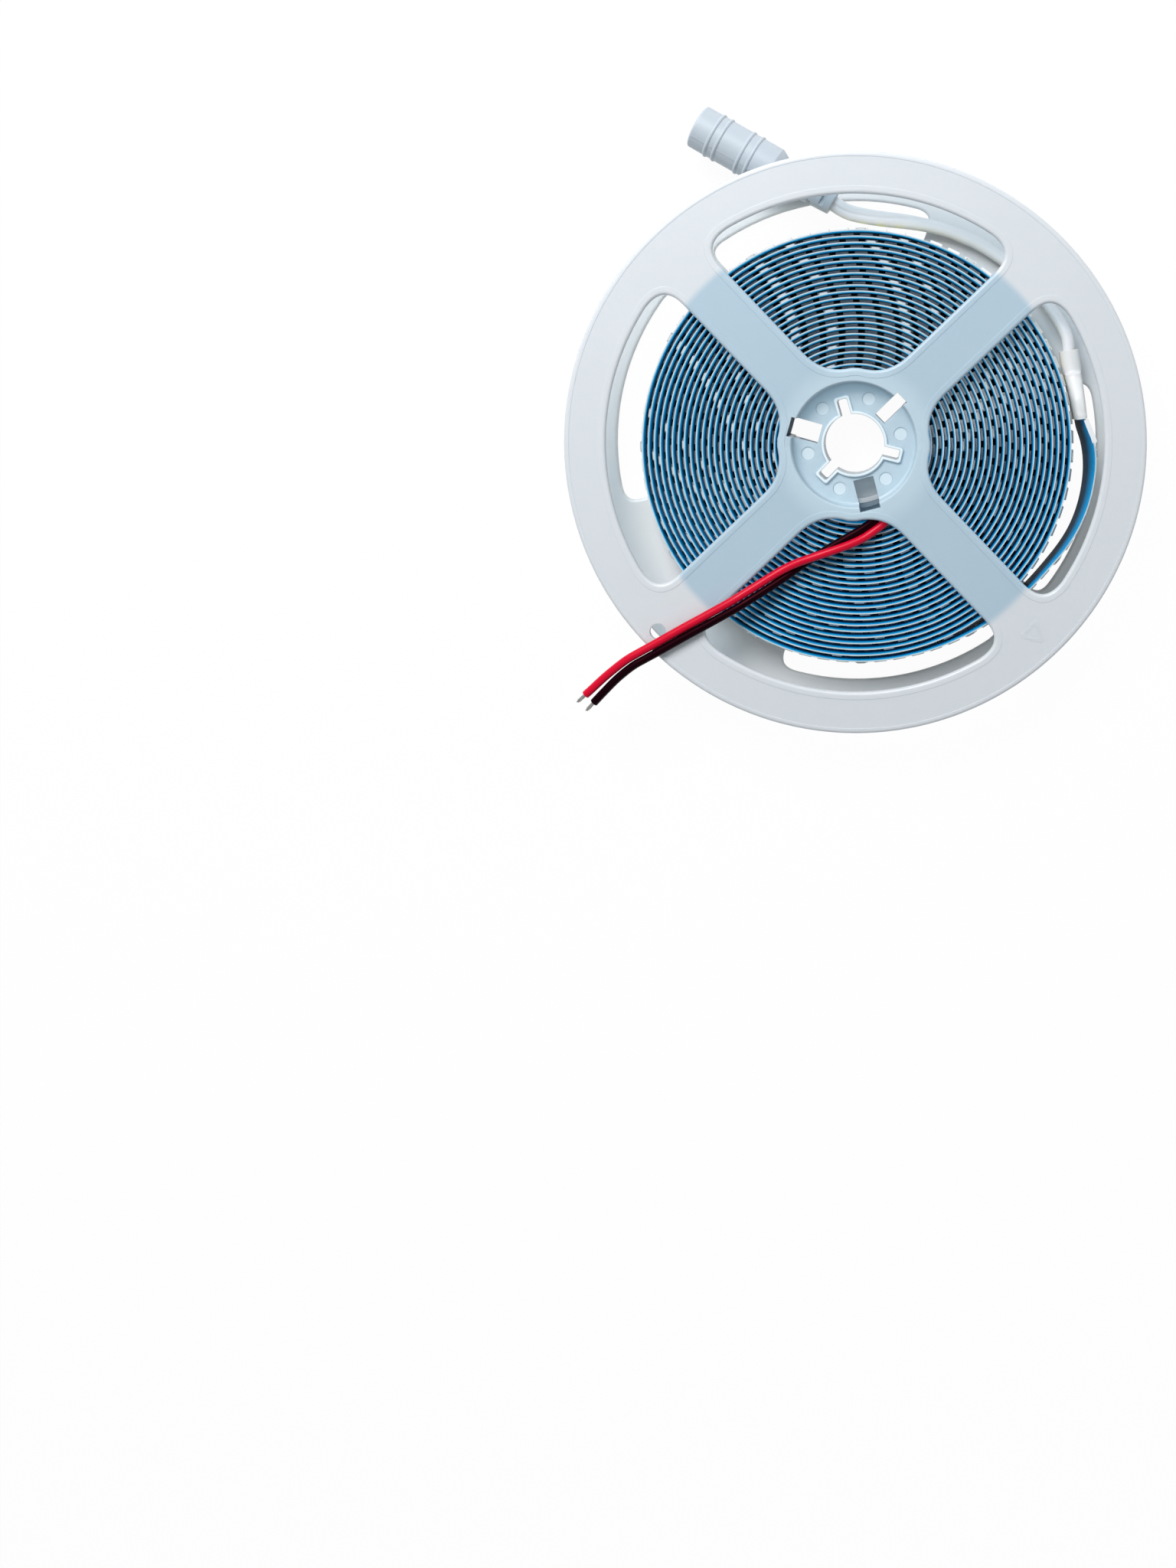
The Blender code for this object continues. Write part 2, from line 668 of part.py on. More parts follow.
def loft(name, rings, finish):
    """A closed body through like rings of points, from the first to the last."""
    mesh = bpy.data.meshes.new(name)
    work = bmesh.new()
    made = [[work.verts.new(point) for point in ring] for ring in rings]
    count = len(rings[0])
    for a, b in zip(made, made[1:]):
        for i in range(count):
            j = (i + 1) % count
            work.faces.new((a[i], a[j], b[j], b[i]))
    work.faces.new(made[0][::-1])
    work.faces.new(made[-1])
    bmesh.ops.recalc_face_normals(work, faces=work.faces)
    work.to_mesh(mesh)
    work.free()
    return add_part(name, mesh, finish)


def sleeve_foot():
    """The middle of the sleeve's flat end, seen from above."""
    return strip_end() + polar(SLEEVE_PAST_STRIP, SLEEVE_TURN)


def strip_end_sleeve():
    """Shrunk tubing: tall and flat over the strip's end, waisted, and round where the cable goes in."""
    along = polar(1.0, SLEEVE_TURN)
    across = polar(1.0, SLEEVE_TURN - 90)
    foot = sleeve_foot()
    rings = []
    for share, wide, high, z, power in SLEEVE_SECTIONS:
        middle = foot + along * SLEEVE_LENGTH * share
        ring = []
        for i in range(SLEEVE_SIDES):
            angle = 2 * math.pi * i / SLEEVE_SIDES
            side = math.copysign(abs(math.cos(angle)) ** (2 / power), math.cos(angle))
            up = math.copysign(abs(math.sin(angle)) ** (2 / power), math.sin(angle))
            place = middle + across * wide / 2 * side
            ring.append((place.x, place.y, z + high / 2 * up))
        rings.append(ring)
    loft("strip_end_sleeve", rings, sleeve_finish)


def cord(name, route, diameter, finish):
    """A plain round cord on a smooth curve through its route's points, with a straight piece at each end."""
    line = [route[0], *spaced(smooth_through(route[1:-1], 8), CABLE_STEP * diameter), route[-1]]
    curve = bpy.data.curves.new(name, "CURVE")
    curve.dimensions = "3D"
    curve.bevel_depth = diameter / 2
    curve.bevel_resolution = 2
    curve.use_fill_caps = True
    spline = curve.splines.new("POLY")
    spline.points.add(len(line) - 1)
    for point, place in zip(spline.points, line):
        point.co = (*place, 1.0)
    add_part(name, curve, finish)


def socket_frame():
    """Places what is modelled along +Z on the socket's axis, with z = 0 at the relief's end face."""
    height = PLATE + SEAT + SOCKET_R + RING_RISE
    turn = Matrix.Rotation(math.radians(SOCKET_TURN), 4, "Z") @ Matrix.Rotation(math.radians(90), 4, "Y")
    return Matrix.Translation((RELIEF_END_X, RELIEF_END_Y, height)) @ turn


def relief_point(past):
    """A point on the socket's axis, this far out of the relief's end face."""
    return socket_frame() @ Vector((0, 0, -past))


def sleeve_point(past):
    """A point on the sleeve's axis, this far out of its round mouth."""
    place = sleeve_foot() + polar(SLEEVE_LENGTH + past, SLEEVE_TURN)
    return Vector((place.x, place.y, SLEEVE_MOUTH_Z))


def dc_cable():
    route = [relief_point(SEAT), relief_point(SEAT + CABLE_D)]
    route += [Vector(point) for point in CABLE_MID_ROUTE]
    route += [sleeve_point(SEAT + CABLE_D), sleeve_point(SEAT)]
    cord("dc_cable", route, CABLE_D, cable_finish)


def dc_socket_housing():
    """The moulded grip: ringed body, tapered neck and a slotted strain relief, bored for the contacts."""
    face = RELIEF_LENGTH + SOCKET_TAPER + SOCKET_LENGTH
    profile = [(0, face), (SOCKET_R - SOCKET_EDGE, face), (SOCKET_R, face - SOCKET_EDGE)]
    for place in RING_PLACES:
        middle = face - place
        profile += [(SOCKET_R, middle + RING_HALF), (SOCKET_R + RING_RISE, middle), (SOCKET_R, middle - RING_HALF)]
    profile += [
        (SOCKET_R, RELIEF_LENGTH + SOCKET_TAPER),
        (RELIEF_R, RELIEF_LENGTH),
        (RELIEF_END_R, 0),
        (0, 0),
    ]
    housing = add_part("dc_socket_housing", turned("dc_socket_housing", profile, SOCKET_SIDES), socket_finish)
    housing.matrix_world = socket_frame()
    bore_r = LINER_R + SEAT
    bore = [(0, face + CUT_PAST), (bore_r, face + CUT_PAST), (bore_r, face - LINER_DEPTH - SEAT)]
    bore.append((0, face - LINER_DEPTH - SEAT))
    cutter = add_cutter("liner_bore", turned("liner_bore", bore, SOCKET_SIDES))
    cutter.matrix_world = socket_frame()
    boolean(housing, cutter, "DIFFERENCE")
    slots = add_cutter("relief_slots", relief_slots())
    slots.matrix_world = socket_frame()
    boolean(housing, slots, "DIFFERENCE")


def relief_slots():
    """Pairs of slots in the relief, each pair a quarter turn from the last, which leave a core and two webs."""
    mesh = bpy.data.meshes.new("relief_slots")
    work = bmesh.new()
    pitch = RELIEF_LENGTH / (RELIEF_SLOTS + 0.5)
    reach = 2 * RELIEF_R
    for i in range(RELIEF_SLOTS):
        middle = pitch * (i + 0.75)
        for side in (1, -1):
            offset = side * (RELIEF_CORE_R + reach / 2)
            quarter = Matrix.Rotation(math.radians(90 * (i % 2)), 4, "Z")
            place = Matrix.Translation((0, 0, middle)) @ quarter @ Matrix.Translation((offset, 0, 0))
            size = Matrix.Diagonal((reach, 2 * reach, RELIEF_SLOT, 1))
            bmesh.ops.create_cube(work, size=1.0, matrix=place @ size)
    work.to_mesh(mesh)
    work.free()
    return mesh


def dc_socket_liner():
    """The hard insulating cup inside the housing, open at the face that the plug enters."""
    face = RELIEF_LENGTH + SOCKET_TAPER + SOCKET_LENGTH
    back = face - LINER_DEPTH
    floor = face - JACK_DEPTH
    hole = PIN_R + LAY
    profile = [(hole, floor), (JACK_R, floor), (JACK_R, face), (LINER_R, face), (LINER_R, back), (hole, back)]
    profile.append(profile[0])
    liner = add_part("dc_socket_liner", turned_ring("dc_socket_liner", profile, SOCKET_SIDES), liner_finish)
    liner.matrix_world = socket_frame()


def dc_socket_pin():
    """The centre pin, which stands in the cup's floor."""
    face = RELIEF_LENGTH + SOCKET_TAPER + SOCKET_LENGTH
    tip = face - PIN_SHORT
    back = face - LINER_DEPTH
    profile = [(0, tip), (PIN_R - PIN_TIP, tip), (PIN_R, tip - PIN_TIP), (PIN_R, back), (0, back)]
    pin = add_part("dc_socket_pin", turned("dc_socket_pin", profile, 12), metal_finish)
    pin.matrix_world = socket_frame()


def dc_socket_contact():
    """The leaf that presses on the plug's barrel, along one side of the cup."""
    face = RELIEF_LENGTH + SOCKET_TAPER + SOCKET_LENGTH
    low = face - JACK_DEPTH + SEAT
    inner = JACK_R - LAY - 2 * CONTACT_THICK
    corner_low = (inner, -CONTACT_WIDE / 2, low)
    corner_high = (inner + CONTACT_THICK, CONTACT_WIDE / 2, low + CONTACT_LENGTH)
    contact = add_part("dc_socket_contact", box("dc_socket_contact", corner_low, corner_high), metal_finish)
    contact.matrix_world = socket_frame()


def lead_route(start, side, end):
    """A lead's whole route, which runs to one side of the pair's shared middle line."""
    route = [Vector((*polar(BARREL_R + out, degrees), height)) for out, degrees, height in start]
    pair = [Vector(point[:3]) for point in PAIR_ROUTE]
    for i, point in enumerate(pair):
        along = pair[min(i + 1, len(pair) - 1)] - pair[max(i - 1, 0)]
        left = along.cross(Vector((0, 0, 1))).normalized()
        turn = math.radians(PAIR_ROUTE[i][3])
        route.append(point + (left * math.cos(turn) + Vector((0, 0, math.sin(turn)))) * side)
    return route + [Vector(point) for point in end]


def lead_tip(name, route):
    """The tinned strands at a lead's bare end."""
    last = route[-1]
    along = (last - route[-2]).normalized()
    profile = [
        (0, LEAD_TIP_LENGTH),
        (LEAD_TIP_END_D / 2, LEAD_TIP_LENGTH),
        (LEAD_TIP_D / 2, LEAD_TIP_LENGTH - LEAD_TIP_TAPER),
        (LEAD_TIP_D / 2, 0),
        (0, 0),
    ]
    tip = add_part(name, turned(name, profile, 10), tinned_finish)
    tip.matrix_world = Matrix.Translation(last + along * LAY) @ along.to_track_quat("Z", "Y").to_matrix().to_4x4()


for leftover in list(bpy.data.objects):
    bpy.data.objects.remove(leftover)

parts = new_collection("led_strip_light_reel")
cutters = new_collection("cutters")

shell_finish = new_material("milky_polystyrene", (0.78, 0.84, 0.88), 0.38)
strip_finish = new_material("strip_blue_liner", (0.05, 0.22, 0.45), 0.45)
sleeve_finish = new_material("white_shrink_tube", (0.86, 0.85, 0.82), 0.5)
cable_finish = new_material("white_vinyl", (0.80, 0.83, 0.87), 0.42)
socket_finish = new_material("moulded_white_vinyl", (0.76, 0.81, 0.86), 0.45)
liner_finish = new_material("white_hard_plastic", (0.82, 0.82, 0.80), 0.35)
metal_finish = new_material("nickel_plate", (0.72, 0.70, 0.66), 0.25, 1.0)
tinned_finish = new_material("tinned_copper", (0.70, 0.68, 0.66), 0.35, 1.0)
red_finish = new_material("red_vinyl", (0.62, 0.02, 0.06), 0.3)
black_finish = new_material("black_vinyl", (0.015, 0.015, 0.02), 0.3)

front_half()
rear_half()
led_strip_roll()
strip_end_sleeve()
dc_cable()
dc_socket_housing()
dc_socket_liner()
dc_socket_pin()
dc_socket_contact()
for colour, start, side, end, finish in (
    ("red", RED_START, PAIR_SIDE, RED_END, red_finish),
    ("black", BLACK_START, -PAIR_SIDE, BLACK_END, black_finish),
):
    lead = lead_route(start, side, end)
    cord(f"{colour}_lead", lead, LEAD_D, finish)
    lead_tip(f"{colour}_lead_tip", lead)

for part in parts.objects:
    if part.type == "MESH":
        part.data.shade_smooth()
        part.data.set_sharp_from_angle(angle=math.radians(35))
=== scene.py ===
import math

import bmesh
import bpy
from mathutils import Matrix, Vector, noise


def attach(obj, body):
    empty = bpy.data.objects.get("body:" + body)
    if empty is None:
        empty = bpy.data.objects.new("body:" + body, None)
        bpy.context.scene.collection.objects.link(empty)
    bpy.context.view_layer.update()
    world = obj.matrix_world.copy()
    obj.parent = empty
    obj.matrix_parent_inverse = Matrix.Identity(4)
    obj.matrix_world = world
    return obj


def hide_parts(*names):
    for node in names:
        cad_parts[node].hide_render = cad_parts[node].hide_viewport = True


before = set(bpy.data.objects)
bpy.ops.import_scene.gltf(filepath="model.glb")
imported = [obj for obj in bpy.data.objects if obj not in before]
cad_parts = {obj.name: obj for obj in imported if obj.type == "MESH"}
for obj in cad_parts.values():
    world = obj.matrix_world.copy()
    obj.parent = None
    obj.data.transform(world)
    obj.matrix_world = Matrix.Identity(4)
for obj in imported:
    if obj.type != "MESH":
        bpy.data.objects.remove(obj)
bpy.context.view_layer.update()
MM = 0.001

# The view: almost straight down on the reel from 32 cm, a little from its upper right. The reel stands in the
# upper right of an upright picture, so the picture plane is shifted and the camera isn't turned.
REEL_HIGH = 15.5 * MM
VIEW_DISTANCE = 321 * MM
VIEW_ASIDE = Vector((9.5 * MM, 15.4 * MM))
REEL_WIDE_IN_PIXELS = 763
FLANGE_R = 63.0 * MM
REEL_AT_PIXEL = (1115, 581)
PICTURE = (1536, 2048)
SENSOR_WIDE = 36.0


def in_scene(name, data):
    made = bpy.data.objects.new(name, data)
    bpy.context.scene.collection.objects.link(made)
    return made


look_at = Vector((0, 0, REEL_HIGH))
stands = Vector((*VIEW_ASIDE, math.sqrt(VIEW_DISTANCE**2 - VIEW_ASIDE.length_squared)))
ahead = -stands.normalized()
right = ahead.cross(Vector((0, 1, 0))).normalized()
up = right.cross(ahead)
camera = in_scene("view", bpy.data.cameras.new("view"))
camera.matrix_world = Matrix.Translation(look_at + stands) @ Matrix((right, up, -ahead)).transposed().to_4x4()
camera.data.sensor_width = SENSOR_WIDE
camera.data.lens = SENSOR_WIDE * VIEW_DISTANCE * REEL_WIDE_IN_PIXELS / (2 * FLANGE_R) / PICTURE[1]
camera.data.shift_x = (PICTURE[0] / 2 - REEL_AT_PIXEL[0]) / PICTURE[1]
camera.data.shift_y = (REEL_AT_PIXEL[1] - PICTURE[1] / 2) / PICTURE[1]
camera.data.clip_start = 10 * MM
bpy.context.scene.camera = camera


# The rear half of the reel, on which the strip is wound.
# It is one injection moulding of milky polystyrene: a windowed plate with a sunk hub cup and a spigot,
# which plugs into the front half. Two of its spokes are narrow and two are wide webs.
PLATE = 1.6 * MM
EDGE_ROUND = 0.7 * MM
RIM_LAND = 1.15 * MM
WINDOW_LAND = RIM_LAND + 0.5 * MM
PANEL_SUNK = 0.1 * MM
PANEL_ROUND = 0.06 * MM
WINDOW_OUTER_R = 53.9 * MM
WINDOW_INNER_R = 16.6 * MM
SPOKE_WIDTH = 11.5 * MM
SPOKE_TURN = 43.7
WINDOW_OUTER_CORNER = 6.6 * MM
WINDOW_INNER_CORNER = 5.8 * MM
REAR_WINDOW_OUTER_CORNER = 3.6 * MM
REAR_WEB_TURN = 43.1
REAR_WEB_ANGLE = 56.4
BARREL_R = 14.4 * MM
RECESS_R = 13.5 * MM
RECESS_DEPTH = 4.5 * MM
RECESS_LIP = 0.75 * MM
RECESS_FOOT = 0.7 * MM
FLOOR = 1.2 * MM
BORE_R = 6.6 * MM
KEY_END_R = 10.1 * MM
KEY_WIDTH = 2.2 * MM
KEY_TURN = 105.9
KEY_NICK = 0.35 * MM
COLLAR_WALL = 0.7 * MM
COLLAR_RISE = 0.6 * MM
COLLAR_ROUND = 0.15 * MM
SPIGOT_WALL = 1.0 * MM
SNAP_TURN = 44.4
SNAP_WIDTHS = (2.9 * MM, 4.3 * MM, 4.5 * MM)
SNAP_INNER_R = 7.8 * MM
SNAP_OUTER_R = 14.6 * MM
PIN_MARK_R = 1.5 * MM
PIN_MARK_AT = 10.35 * MM
PIN_MARK_TURN = 12.0
PIN_MARK_DEEP = 0.3 * MM
PIN_MARK_SIDES = 32
SEAT = 0.3 * MM
CUT_PAST = 1.0 * MM
WELD = 0.0005 * MM
RIM_SIDES = 256
HUB_SIDES = 144


def polar(radius, degrees):
    return Vector((radius * math.cos(math.radians(degrees)), radius * math.sin(math.radians(degrees))))


def add_piece(name, mesh, slot, *finishes):
    """A piece of the reel, which rides on its one body."""
    made = in_scene(name, mesh)
    for finish in finishes:
        mesh.materials.append(finish)
    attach(made, "root")
    return made


def soften(piece, degrees=38):
    """Smooth shading that keeps flat faces flat and true corners sharp."""
    piece.data.shade_smooth()
    piece.data.set_sharp_from_angle(angle=math.radians(degrees))
    piece.modifiers.new("flat faces", "WEIGHTED_NORMAL").keep_sharp = True


def outwards(mesh, weld=0.0):
    """The mesh with its faces turned outwards, and with points nearer than this joined."""
    work = bmesh.new()
    work.from_mesh(mesh)
    if weld:
        bmesh.ops.remove_doubles(work, verts=work.verts, dist=weld)
    bmesh.ops.recalc_face_normals(work, faces=work.faces)
    work.to_mesh(mesh)
    work.free()
    return mesh


def evaluated(holder):
    """The finished mesh of a helper object, which is then removed."""
    bpy.context.view_layer.update()
    mesh = bpy.data.meshes.new_from_object(holder.evaluated_get(bpy.context.evaluated_depsgraph_get()))
    bpy.data.objects.remove(holder)
    return outwards(mesh, WELD)


def add_line(curve, places):
    """A new line of straight pieces through these places."""
    spline = curve.splines.new("POLY")
    spline.points.add(len(places) - 1)
    for point, place in zip(spline.points, places):
        point.co = (*place.to_3d(), 1.0)
    return spline


def moulded_outline(name, loops, low, high, rounding=0.0, roundness=4):
    """The area inside the first loop and outside the others, from low to high, with rounded edges."""
    curve = bpy.data.curves.new(name, "CURVE")
    curve.dimensions = "2D"
    curve.fill_mode = "BOTH"
    curve.extrude = (high - low) / 2 - rounding
    curve.bevel_depth = rounding
    curve.bevel_resolution = roundness
    for loop in loops:
        add_line(curve, loop).use_cyclic_u = True
    mesh = evaluated(in_scene(name, curve))
    mesh.transform(Matrix.Translation((0, 0, (low + high) / 2)))
    return mesh


def turned(name, profile, sides, closed=False):
    """A body turned about +Z from (radius, height) points."""
    if not closed and profile[0][1] < profile[-1][1]:
        profile = profile[::-1]
    edges = [(i, i + 1) for i in range(len(profile) - 1)] + ([(len(profile) - 1, 0)] if closed else [])
    outline = bpy.data.meshes.new(name)
    outline.from_pydata([(r, 0, z) for r, z in profile], edges, [])
    holder = in_scene(name, outline)
    screw = holder.modifiers.new("turn", "SCREW")
    screw.steps = sides
    screw.render_steps = sides
    screw.use_merge_vertices = True
    screw.merge_threshold = 2 * WELD
    return evaluated(holder)


def quarter_round(centre, radius, start, steps=6):
    """Profile points round a quarter circle, from this angle on."""
    angles = [math.radians(start + 90 * i / steps) for i in range(steps + 1)]
    return [(centre[0] + radius * math.cos(a), centre[1] + radius * math.sin(a)) for a in angles]


def plug(radius, start, end):
    """The profile of a plain round plug from one height to another."""
    return [(0, start), (radius, start), (radius, end), (0, end)]


def carved(body, steps):
    """The body after each (mesh, operation) has been joined to it or cut from it."""
    holder = in_scene(body.name, body)
    tools = [in_scene(mesh.name, mesh) for mesh, operation in steps]
    for tool, (mesh, operation) in zip(tools, steps):
        step = holder.modifiers.new(tool.name, "BOOLEAN")
        step.operation = operation
        step.solver = "EXACT"
        step.object = tool
    mesh = evaluated(holder)
    for tool in tools:
        bpy.data.objects.remove(tool)
    return mesh


def block(name, places):
    """Boxes in one mesh, each (size, matrix)."""
    mesh = bpy.data.meshes.new(name)
    work = bmesh.new()
    for size, place in places:
        bmesh.ops.create_cube(work, size=1.0, matrix=place @ Matrix.Diagonal((*size, 1)))
    work.to_mesh(mesh)
    work.free()
    return mesh


def ring_loop(radius, sides, centre=Vector((0, 0))):
    return [centre + polar(radius, 360 * i / sides) for i in range(sides)]


def pin_loops(radius):
    """The six round marks that the mould's pins leave in the floor of the hub's cup."""
    turns = [PIN_MARK_TURN + 60 * i for i in range(6)]
    return [ring_loop(radius, PIN_MARK_SIDES, polar(PIN_MARK_AT, turn)) for turn in turns]


def window_loop(side_a, side_b, outer_corner, grow, fineness=10):
    """A window between two straight sides, each an (angle, offset) line beside a ray from the axis."""
    outer_r = WINDOW_OUTER_R + grow
    inner_r = WINDOW_INNER_R - grow
    offsets = (side_a[1] - grow, side_b[1] + grow)

    def corner(side, radius):
        return polar(radius, (side_a, side_b)[side][0] + math.degrees(math.asin(offsets[side] / radius)))

    def beside(side, radius, cut):
        sharp = corner(side, radius)
        turn = math.degrees(cut / radius) * (1 if side == 0 else -1)
        return polar(radius, math.degrees(math.atan2(sharp.y, sharp.x)) + turn)

    def arc(radius, start, end, steps):
        first = math.degrees(math.atan2(start.y, start.x))
        sweep = (math.degrees(math.atan2(end.y, end.x)) - first + 180) % 360 - 180
        return [polar(radius, first + sweep * i / steps) for i in range(steps + 1)]

    def rounded(before, sharp, after):
        shares = [i / fineness for i in range(1, fineness)]
        return [before * (1 - t) ** 2 + sharp * 2 * t * (1 - t) + after * t**2 for t in shares]

    outer_cut = outer_corner + grow
    under_half = 0.47 * (corner(1, inner_r) - corner(0, inner_r)).length
    inner_cut = min(WINDOW_INNER_CORNER + grow, under_half)
    outer = arc(outer_r, beside(0, outer_r, outer_cut), beside(1, outer_r, outer_cut), steps=60)
    inner = arc(inner_r, beside(1, inner_r, inner_cut), beside(0, inner_r, inner_cut), steps=12)
    side_1 = [corner(1, outer_r - outer_cut), corner(1, inner_r + inner_cut)]
    side_0 = [corner(0, inner_r + inner_cut), corner(0, outer_r - outer_cut)]
    loop = outer + rounded(outer[-1], corner(1, outer_r), side_1[0]) + side_1
    loop += rounded(side_1[1], corner(1, inner_r), inner[0]) + inner
    loop += rounded(inner[-1], corner(0, inner_r), side_0[0]) + side_0
    return loop + rounded(side_0[1], corner(0, outer_r), outer[0])


def rear_windows(grow):
    half = SPOKE_WIDTH / 2
    loops = []
    for i in range(2):
        web = REAR_WEB_TURN + 180 * i
        spoke = SPOKE_TURN + 90 + 180 * i
        after_web = (web + REAR_WEB_ANGLE / 2, 0.0)
        before_web = (web + 180 - REAR_WEB_ANGLE / 2, 0.0)
        loops.append(window_loop(after_web, (spoke, -half), REAR_WINDOW_OUTER_CORNER, grow))
        loops.append(window_loop((spoke, half), before_web, REAR_WINDOW_OUTER_CORNER, grow))
    return loops


def keyed_loop(grow, steps=24):
    """The bore's outline: a circle with three key slots."""
    radius = BORE_R + grow
    half = KEY_WIDTH / 2 + grow
    end = KEY_END_R + grow
    foot = math.degrees(math.asin(half / radius))
    loop = []
    for i in range(3):
        turn = KEY_TURN + 120 * i
        along = polar(1.0, turn)
        across = polar(1.0, turn + 90)
        loop.append(polar(radius, turn - foot))
        tip = end - KEY_NICK
        side = half - KEY_NICK
        for out, across_by in ((tip, -half), (end, -side), (end, side), (tip, half)):
            loop.append(along * out + across * across_by)
        loop += [polar(radius, turn + foot + (120 - 2 * foot) * j / steps) for j in range(steps)]
    return loop


def moulded_half(name, windows, rear):
    """One half of the reel, with the marks of its mould."""
    steps = []

    def join(mesh):
        steps.append((mesh, "UNION"))

    def cut(mesh):
        steps.append((mesh, "DIFFERENCE"))

    def z_at(depth):
        return depth if rear else REEL_HIGH - depth

    def span(depth_a, depth_b):
        return sorted((z_at(depth_a), z_at(depth_b)))

    def flipped(profile):
        return [(r, z_at(depth)) for r, depth in profile]

    plate = [ring_loop(FLANGE_R - EDGE_ROUND, RIM_SIDES), *windows(EDGE_ROUND)]
    body = moulded_outline(name, plate, *span(0.0, PLATE), EDGE_ROUND)
    panel = [ring_loop(FLANGE_R - RIM_LAND, RIM_SIDES), *windows(WINDOW_LAND)]
    sunk = moulded_outline("panel", panel, *span(-CUT_PAST, PANEL_SUNK), PANEL_ROUND, 2)
    cut(sunk)

    end = REEL_HIGH / 2 - SEAT / 2
    join(turned("barrel", flipped(plug(BARREL_R, PLATE / 2, end)), HUB_SIDES))

    lip = quarter_round((RECESS_R + RECESS_LIP, RECESS_LIP), RECESS_LIP, 180)[::-1]
    foot = quarter_round((RECESS_R - RECESS_FOOT, RECESS_DEPTH - RECESS_FOOT), RECESS_FOOT, 0)
    recess = [(0, -CUT_PAST), (RECESS_R + RECESS_LIP, -CUT_PAST), *lip, *foot, (0, RECESS_DEPTH)]
    cut(turned("recess", flipped(recess), HUB_SIDES))

    under = RECESS_DEPTH + FLOOR
    skirt = flipped(plug(RECESS_R, under, end + CUT_PAST))
    cut(turned("skirt", skirt, HUB_SIDES))
    if rear:
        outer = RECESS_R - SEAT
        inner = outer - SPIGOT_WALL
        top = REEL_HIGH - under - SEAT
        ring = [(inner, under - FLOOR / 2), (inner, top), (outer, top), (outer, under - FLOOR / 2)]
        join(turned("spigot", ring, HUB_SIDES, closed=True))

    rim = [keyed_loop(COLLAR_WALL - COLLAR_ROUND)]
    collar = moulded_outline("collar", rim, *span(RECESS_DEPTH - COLLAR_RISE, end), COLLAR_ROUND, 2)
    join(collar)
    bore = moulded_outline("bore", [keyed_loop(0.0)], *span(-CUT_PAST, REEL_HIGH / 2 + CUT_PAST))
    cut(bore)
    low, high = span(-CUT_PAST, REEL_HIGH - under)
    slots = []
    for i in range(2 if rear else 3):
        size = (SNAP_OUTER_R - SNAP_INNER_R, SNAP_WIDTHS[i], high - low)
        middle = ((SNAP_OUTER_R + SNAP_INNER_R) / 2, 0, (low + high) / 2)
        turn = Matrix.Rotation(math.radians(SNAP_TURN + 120 * i), 4, "Z")
        slots.append((size, turn @ Matrix.Translation(middle)))
    cut(block("snap_slots", slots))

    low, high = span(RECESS_DEPTH - CUT_PAST / 2, RECESS_DEPTH + PIN_MARK_DEEP)
    for loop in pin_loops(PIN_MARK_R):
        cut(moulded_outline("pin_mark", [loop], low, high))
    if not rear:
        loop = ring_loop(WIRE_HOLE_R, WIRE_HOLE_SIDES, polar(WIRE_HOLE_AT, SPOKE_TURN + 180))
        hole = moulded_outline("wire_hole", [loop], *span(-CUT_PAST, PLATE + CUT_PAST))
        cut(hole)
    return carved(body, steps)


def feed(tree, node, inputs):
    """Gives each input its value, or the socket that feeds it."""
    for name, value in inputs.items():
        if isinstance(value, bpy.types.NodeSocket):
            tree.links.new(value, node.inputs[name])
        else:
            node.inputs[name].default_value = value


def add_node(tree, kind, inputs, **settings):
    """The outputs of a new shader node."""
    made = tree.nodes.new("ShaderNode" + kind)
    for name, value in settings.items():
        setattr(made, name, value)
    feed(tree, made, inputs)
    return made.outputs


def add_shader(name):
    """A new material, its node tree, its shader and the place on the piece that its textures follow."""
    material = bpy.data.materials.new(name)
    material.use_nodes = True
    tree = material.node_tree
    return material, tree, tree.nodes["Principled BSDF"], add_node(tree, "TexCoord", {})["Object"]


def new_finish(
    name, colour, roughness, drift=0.03, drift_scale=40.0, grain=0.1, grain_scale=1500.0,
    metallic=0.0, mirror=0.5,
):
    """A surface whose colour and gloss drift a little from place to place, with a fine grain."""
    material, tree, shader, place = add_shader(name)

    def cloud(scale, detail):
        return add_node(tree, "TexNoise", {"Scale": scale, "Detail": detail, "Vector": place})["Fac"]

    dark, light = [(*[min(1.0, c * share) for c in colour], 1) for share in (1 - drift, 1 + drift)]
    tone = {"A": dark, "B": light, "Factor": cloud(drift_scale, 5.0)}
    dullest = min(1.0, roughness * 1.2)
    gloss = {"To Min": roughness * 0.85, "To Max": dullest, "Value": cloud(drift_scale * 5, 3.0)}
    rise = {"Strength": grain, "Distance": 0.1 * MM, "Height": cloud(grain_scale, 2.0)}
    feed(tree, shader, {
        "Base Color": add_node(tree, "Mix", tone, data_type="RGBA")["Result"],
        "Roughness": add_node(tree, "MapRange", gloss)["Result"],
        "Normal": add_node(tree, "Bump", rise)["Normal"],
        "Metallic": metallic,
        "Specular IOR Level": mirror,
    })
    return material


# The roll under the plastic: it is loose on the hub and has slid to one side of it.
ROLL_SHIFT = Vector((0.67 * MM, -0.36 * MM))
# Where the plastic's painted blue tint over the roll fades out. The tint stands in for the liner's light
# showing through it.
TINT_FROM = 46.8 * MM
TINT_TO = 48.8 * MM
# Where the plastic is painted paler near the hub, as painted light on the hub.
PALE_FROM = 14.5 * MM
PALE_TO = 19.5 * MM
LET_THROUGH = 0.7
# The painted shade deep inside the hub, which darkens the plastic from one height to another.
HUB_PAINTED_SHADE = (0.46, 0.50, 0.53)


def shader_of(material):
    """A finished material's node tree, its shader, its own colour and the place that its textures follow."""
    tree = material.node_tree
    shader = tree.nodes["Principled BSDF"]
    place = next(node for node in tree.nodes if node.type == "TEX_COORD").outputs["Object"]
    return tree, shader, shader.inputs["Base Color"].links[0].from_socket, place


